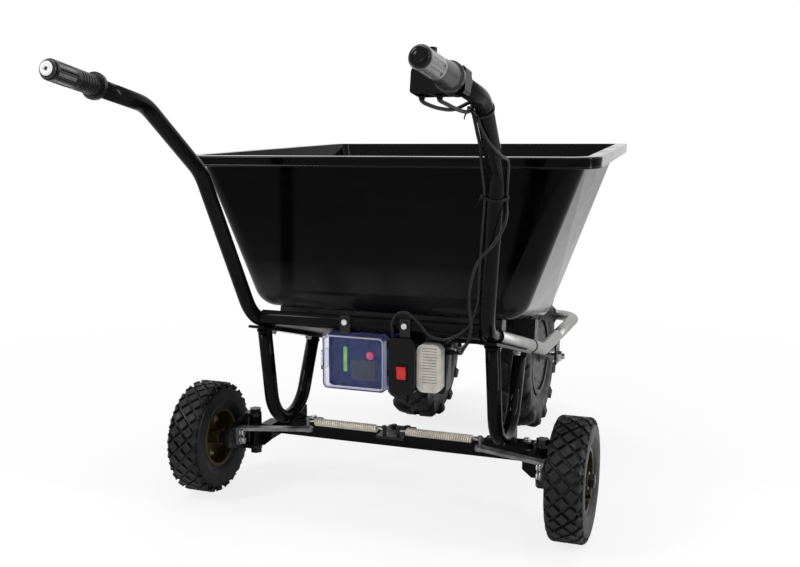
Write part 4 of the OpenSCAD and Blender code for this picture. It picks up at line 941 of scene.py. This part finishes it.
def tube_round(t, a, k=1.0):
    """A point beside the handle's upper length: share t along it, a degrees round it."""
    a = math.radians(a)
    return BEND_UP + (BEND_MID - BEND_UP) * t + LEAD_OFF * k * (math.cos(a) * FORE_SIDE + math.sin(a) * FORE_LOW)


def on_down(z, side):
    """A point beside the handle's lower length, at a height in mm."""
    t = (BEND_MID[2] - z * MM) / (BEND_MID[2] - BEND_LOW[2])
    return BEND_MID + (BEND_LOW - BEND_MID) * t + side * LEAD_OFF * DOWN_SIDE


def points(*rows):
    return [P(*q) for q in rows]


throttle = box_exit(THROTTLE_EXIT) + points((258, -460, 830), (266, -424, 825), (277, -384, 825))
throttle += [tube_round(0.04, 0, 1.04)] + [tube_round(t, 0) for t in (0.12, 0.4, 0.6)] + [tube_round(0.82, 0, 1.2)]
throttle += [on_down(z, 1) for z in (680, 610, 540, 480)]
throttle += points((226, -98, 440), (205, -90, 418), (172, -88, 402), (140, -89, 408), (120, -90, 430),
                   (97, -92, 449), (75, -92, 446), (61.6, -85, 424), (61.6, -79, 411), (61.6, -79, 400.4))
second = box_exit(SECOND_EXIT) + points((287, -450, 829), (291, -412, 823), (294, -376, 821))
second += [tube_round(*q) for q in ((0.02, 54, 1.3), (0.12, 60), (0.26, 74, 1.02), (0.4, 94, 1.03), (0.53, 118, 1.04),
                                    (0.65, 144, 1.08), (0.82, 180, 1.2))] + [on_down(680, -1)]
second += points((308, -172, 640), (289, -178, 600), (258, -170, 565), (240, -154, 520), (232, -134, 478),
                 (233, -122, 440), (222, -104, 405), (207, -82, 384), (196, -58, 371), (188, -40, 365),
                 (178, -34, 365), (163.4, -34, 365))
motor_start = [(54.2, 738, 200), (51.2, 738, 200), (48.2, 738, 200), (36, 722, 214), (42, 688, 252), (46, 640, 268),
               (50, 550, 272), (52, 460, 270), (56, 400, 275)]
motor_right = points(*motor_start, (60, 320, 305), (66, 240, 329), (70, 180, 340), (72, 110, 345), (74, 40, 345),
                     (74, -4, 345), (74, -15.6, 345))
motor_left = points(*[(-x, y, z) for x, y, z in motor_start], (-40, 320, 298), (10, 250, 308), (50, 195, 318),
                    (66, 120, 322), (72, 50, 323), (74, -4, 323), (74, -15.6, 323))
for name, pts, node in (("throttle_cable", throttle, "throttle_lead"), ("second_cable", second, "second_lead")):
    obj = tube(name, smooth_route(pts, 8), LEAD_D, "lead", 16)
    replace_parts(obj, node)
bm = bmesh.new()
for pts in (motor_right, motor_left):
    add_tube(bm, smooth_route(pts, 8), MOTOR_LEAD_D, 16)
obj = piece_from(bm, "motor_cables", "lead", "frame")
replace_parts(obj, "motor_leads")

# Small pieces: grip ends, bolts, welds, strain reliefs, tie ends, valves


def frame_of(axis):
    axis = unit(axis)
    side = unit(np.cross(axis, (0, 0, 1) if abs(axis[2]) < 0.8 else (1, 0, 0)))
    return axis, side, np.cross(axis, side)


def stitch(bm, rows, around=True):
    """Faces between rows of vertices; around closes each row."""
    for a, b in zip(rows, rows[1:]):
        for k in range(len(a) if around else len(a) - 1):
            j = (k + 1) % len(a)
            bm.faces.new((a[k], a[j], b[j], b[k]))


def add_turned(bm, profile, origin, axis, n, shape=None):
    """Turns (radius, height) points in mm about an axis; shape(angle, radius) may change the radius."""
    axis, side, up = frame_of(axis)
    rows = []
    for r, h in profile:
        row = []
        for k in range(n):
            w = ROUND * k / n
            q = shape(w, r) if shape else r
            out = math.cos(w) * side + math.sin(w) * up
            row.append(bm.verts.new(np.asarray(origin) + MM * (axis * h + q * out)))
        rows.append(row)
    stitch(bm, rows)
    bm.faces.new(rows[0][::-1])
    bm.faces.new(rows[-1])


def add_bolt(bm, origin, axis, af, h, washer=0.0):
    """A hexagon head with a chamfered top, on a washer; af is the width across the flats."""
    corner = af / 2 / math.cos(math.pi / 6)
    hexed = lambda w, r: min(r, af / 2 / math.cos((w + math.pi / 6) % (math.pi / 3) - math.pi / 6))
    start = 0
    if washer:
        disc = [(washer - 0.3, 0), (washer, 0.3), (washer, 1.3), (washer - 0.3, 1.6), (af * 0.2, 1.6)]
        add_turned(bm, disc, origin, axis, 30)
        start = 1.5
    head = [(corner, 0), (corner, h * 0.86), (af * 0.47, h), (af * 0.3, h * 0.98), (af * 0.12, h * 0.96)]
    add_turned(bm, [(r, start + z) for r, z in head], origin, axis, 36, hexed)


def add_bead(bm, origin, axis, radius, thick):
    """A weld bead round a tube, with its ripples."""
    axis, side, up = frame_of(axis)
    n, m = 72, 8
    rows = []
    for i in range(n):
        w = ROUND * i / n
        out = math.cos(w) * side + math.sin(w) * up
        t = thick * (1 + 0.16 * math.sin(w * 18) + 0.08 * math.sin(w * 7 + 1))
        row = []
        for v in (ROUND * k / m for k in range(m)):
            spot = out * (radius + t * math.cos(v)) + axis * t * 1.25 * math.sin(v)
            row.append(bm.verts.new(np.asarray(origin) + MM * spot))
        rows.append(row)
    stitch(bm, rows + rows[:1])


# turned profiles: radius and height in mm
CAP = [(11.2, 0.3), (11.2, 6.6), (10.6, 7.6), (9.6, 7.9), (6.2, 7.9), (5.8, 7.3), (4.6, 7.3), (4.2, 7.8), (3.1, 7.8),
       (2.9, 3.0), (1.0, 3.0)]
COLLAR = [(15.4, 0.3), (15.2, 2.4), (14.2, 4.6), (12.4, 5.8), (11.0, 6.0)]
COLLAR_PLUG = [(2.8, 5.2), (2.8, 5.6), (1.0, 5.6)]
DOME = [(15.2, 0.3), (15.2, 2.2), (14.6, 4.4), (13.2, 6.2), (11.0, 7.4), (8.4, 7.9), (7.4, 7.6), (7.0, 7.0),
        (6.6, 7.5), (3.4, 7.9), (1.0, 8.0)]
BAND = [(15.05, -6.2), (16.2, -6.0), (16.6, -5.2), (16.6, -1.4), (16.0, -0.8), (16.0, 0.8), (16.6, 1.4), (16.6, 5.2),
        (16.2, 6.0), (15.05, 6.2)]
VALVE = [(5.4, -4), (5.6, 0), (4.2, 3), (3.6, 12), (3.4, 13), (3.4, 21), (4.1, 21.5), (4.1, 25.5), (3.3, 26.5)]
HANGER_WASHER = [(8.2, 0), (8.7, 0.4), (8.7, 1.4), (8.2, 1.8), (4, 1.8)]
FRAME_BOLT = (13, 5.4, 8.7)  # across the flats, height, washer radius
ARM_BOLT = (16, 7.4, 10.2)
STRIPS, STRIP_HALF, STRIP_FOOT, STRIP_TOP = 8, 9.5, 16.7, 17.25  # on the left grip: degrees and radii
STRIP_RUN, STRIP_ACROSS = (4, 5, 8, 20, 32, 44, 47, 48), (-1, -0.86, -0.4, 0, 0.4, 0.86, 1)
RAIL_BAND_Y = 325


def left_grip_end(end, away):
    bm = bmesh.new()
    add_turned(bm, CAP, end, away, 44)
    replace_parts(piece_from(bm, "grip_end_left", "cap", "frame"), "grip_caps")
    bm = bmesh.new()
    add_turned(bm, COLLAR, end, away, 44)
    add_turned(bm, COLLAR_PLUG, end, away, 20)
    piece_from(bm, "grip_collar_left", "grip", "frame")
    # raised strips along the left grip, coloured grey as painted highlights on the black grip
    bm = bmesh.new()
    axis, over, up = frame_of(-away)
    for k in range(STRIPS):
        rows = []
        for z in STRIP_RUN:
            row = []
            for t in STRIP_ACROSS:
                w = math.radians((k + 0.5) * 360 / STRIPS + STRIP_HALF * t)
                r = STRIP_FOOT if z in (STRIP_RUN[0], STRIP_RUN[-1]) or abs(t) == 1 else STRIP_TOP
                row.append(bm.verts.new(end + MM * (axis * z + r * (math.cos(w) * over + math.sin(w) * up))))
            rows.append(row)
        stitch(bm, rows, around=False)
    piece_from(bm, "grip_highlight_strips_left", "arm", "frame")


def right_grip_end(end, away):
    bm = bmesh.new()
    add_turned(bm, DOME, end, away, 44)
    piece_from(bm, "grip_end_right", "sheen", "frame")
    # glossy ring where the sleeve meets the control box
    bm = bmesh.new()
    add_bead(bm, end - away * 0.1172, away, 21.6, 1.5)
    piece_from(bm, "sleeve_ring", "sheen", "frame")


for side, s in SIDES:
    turn = np.array([s, 1, 1])
    at = lambda x, y, z: P(s * x, y, z)
    (left_grip_end if s < 0 else right_grip_end)(GRIP_END * turn, -GRIP_DIR * turn)

    # bolts that hold the spring arm on the knuckle
    bm = bmesh.new()
    for z in (114, 132):
        add_bolt(bm, at(340.8, 21, z), (-s, 0, 0), *ARM_BOLT)
    piece_from(bm, "arm_bolts_" + side, "zinc", "caster_" + side)

    # welds where the handle meets the rail, and at the leg's two ends
    slope = unit((0, 1, -SLOPE))
    bm = bmesh.new()
    add_bead(bm, at(RAIL_X, 0, rail_h(0)), slope, 15.2, 1.5)
    add_bead(bm, at(RAIL_X, -26.2, 381.4), unit(LEG[1] - LEG[0]) * turn, 15.2, 1.6)
    add_bead(bm, at(RAIL_X, 210.5, 314.6), unit(LEG[3] - LEG[2]) * turn, 15.4, 1.6)
    piece_from(bm, "frame_welds_" + side, "gloss", "frame")

    # dark band where the rail's end is let into the bent length
    bm = bmesh.new()
    add_turned(bm, BAND, at(RAIL_X, RAIL_BAND_Y, rail_h(RAIL_BAND_Y)), slope, 40)
    piece_from(bm, "rail_band_" + side, "moulded", "frame")

    # tyre valve, through the rim's barrel
    bm = bmesh.new()
    w = math.radians(205 if s < 0 else 150)
    foot = at(REAR_WHEEL[0] + 8, 55 * math.sin(w), REAR_WHEEL[2] + 55 * math.cos(w))
    way = np.array([s * 0.93, -0.36 * math.sin(w), -0.36 * math.cos(w)])
    add_turned(bm, VALVE, foot, way, 20)
    piece_from(bm, "tyre_valve_" + side, "moulded", "rear_wheel_" + side)

# bolt heads of the frame, which stand for the solids
heads, plates = bmesh.new(), bmesh.new()
down = RAIL_TURN.to_3x3() @ Vector((0, 0, -1))
for s in (-1, 1):
    for y in (18, 192):
        q = RAIL_TURN @ Vector((0, along(y) * MM, -0.0214))
        add_bolt(heads, np.array(q) * (s, 1, 1), np.array(down), *FRAME_BOLT)
    for k in (-1, 1):
        add_bolt(heads, P(s * (RAIL_X + k * 36.72), 135, 145.5), (0, 0, 1), *FRAME_BOLT)
for x in (-41, 86):
    add_turned(plates, HANGER_WASHER, P(x, -78.5, 420.4), (0, -1, 0), 30)
    add_bolt(heads, P(x, -80.1, 420.4), (0, -1, 0), 11.4, 4.2)
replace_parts(piece_from(heads, "bolt_heads", "zinc", "frame"), "frame_bolts")
piece_from(plates, "hanger_washers", "dark", "frame")

# moulded edge of the clear lid, and its two ribs; their pale lilac colour is a painted highlight along the lid's
# border
LID_CORNER, LID_INSET, LID_EDGE_X, LID_RIBS = 9, 4, 41.0, (44.5, 48.0)
low, high = (np.array(c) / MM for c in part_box("battery_lid"))
x0, x1, z0, z1 = low[0] + LID_INSET, LID_EDGE_X, low[2] + LID_INSET, high[2] - LID_INSET
y, r = low[1] + 0.5, LID_CORNER
ring = []
for cx, cz, a0 in ((x1 - r, z1 - r, 0), (x0 + r, z1 - r, 90), (x0 + r, z0 + r, 180), (x1 - r, z0 + r, 270)):
    for k in range(9):
        w = math.radians(a0 + k * 90 / 8)
        ring.append(np.array([cx + r * math.cos(w), y, cz + r * math.sin(w)]) * MM)
bm = bmesh.new()
add_tube(bm, ring + [ring[0]], 3.0, 10)
for x in LID_RIBS:
    add_tube(bm, [np.array([x, y + 0.6, z]) * MM for z in np.linspace(z0 + 3, z1 - 3, 8)], 2.2, 10)
piece_from(bm, "lid_edge_painted_highlight", "pale_lid_highlight", "lid")

# plain grey panel on the face of the pack, below the button
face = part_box("battery_pack")[0][1] / MM
panel_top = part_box("level_button")[0][2] / MM - 4
bm = bmesh.new()
soft_box(bm, (-38, face - 0.9, 297), (14, face + 0.4, panel_top), 0.4)
piece_from(bm, "pack_panel", "panel", "frame")

# strain reliefs on the leads: ribbed cones, by foot, direction and length
RIBS, RELIEF_R, RELIEF_TAPER, RIB_DEEP = 5, 5.6, 1.7, 0.8
UP, OUT, FALL = (0, 0, 1), (1, 0, 0), (0, 0, -1)
lip = P(0, MID, 0.2)
bm = bmesh.new()
for foot, way, long in ((P(61.6, -79, 400.3), UP, 13), (P(163.3, -34, 365), OUT, 12),
                        (under_box(THROTTLE_EXIT) - lip, FALL, 7), (under_box(SECOND_EXIT) - lip, FALL, 7)):
    rings = []
    for k in range(RIBS):
        a, b, c = (long * (k + t) / RIBS for t in (0, 0.55, 1))
        r = RELIEF_R - RELIEF_TAPER * k / RIBS
        rings += [(r, a), (r, b), (r - RIB_DEEP, b + 0.1), (r - RIB_DEEP, c - 0.1)]
    add_turned(bm, rings, foot, way, 24)
piece_from(bm, "lead_reliefs", "moulded", "frame")

# heads and tails of the two ties
bm = bmesh.new()
for root, out, run in ((tube_round(0.12, 0, 1.28), FORE_SIDE, FORE_LOW), (on_down(680, 1.28), DOWN_SIDE, FORE)):
    a, b = out, unit(run - (run @ out) * out)
    c = np.cross(a, b)
    turn = Matrix.Translation(root) @ Matrix((a, b, c)).transposed().to_4x4()
    soft_box(bm, (-2.4, -3.4, -3.6), (2.8, 3.4, 3.6), 0.7, turn)
    rows = []
    for t in np.linspace(0, 1, 7):
        x, y = 1.2 + 9 * t - 5 * t * t, 3 + 17 * t
        rows.append([bm.verts.new(root + MM * (a * (x + i) + b * y + c * k)) for i, k in
                     ((-0.5, -2.1), (0.5, -2.1), (0.5, 2.1), (-0.5, 2.1))])
    stitch(bm, rows)
    bm.faces.new(rows[0][::-1])
    bm.faces.new(rows[-1])
piece_from(bm, "tie_ends", "moulded", "frame")

low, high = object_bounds()
{"cad": [list(map(float, c)) for c in cad_box], "visual": [list(map(float, low)), list(map(float, high))]}
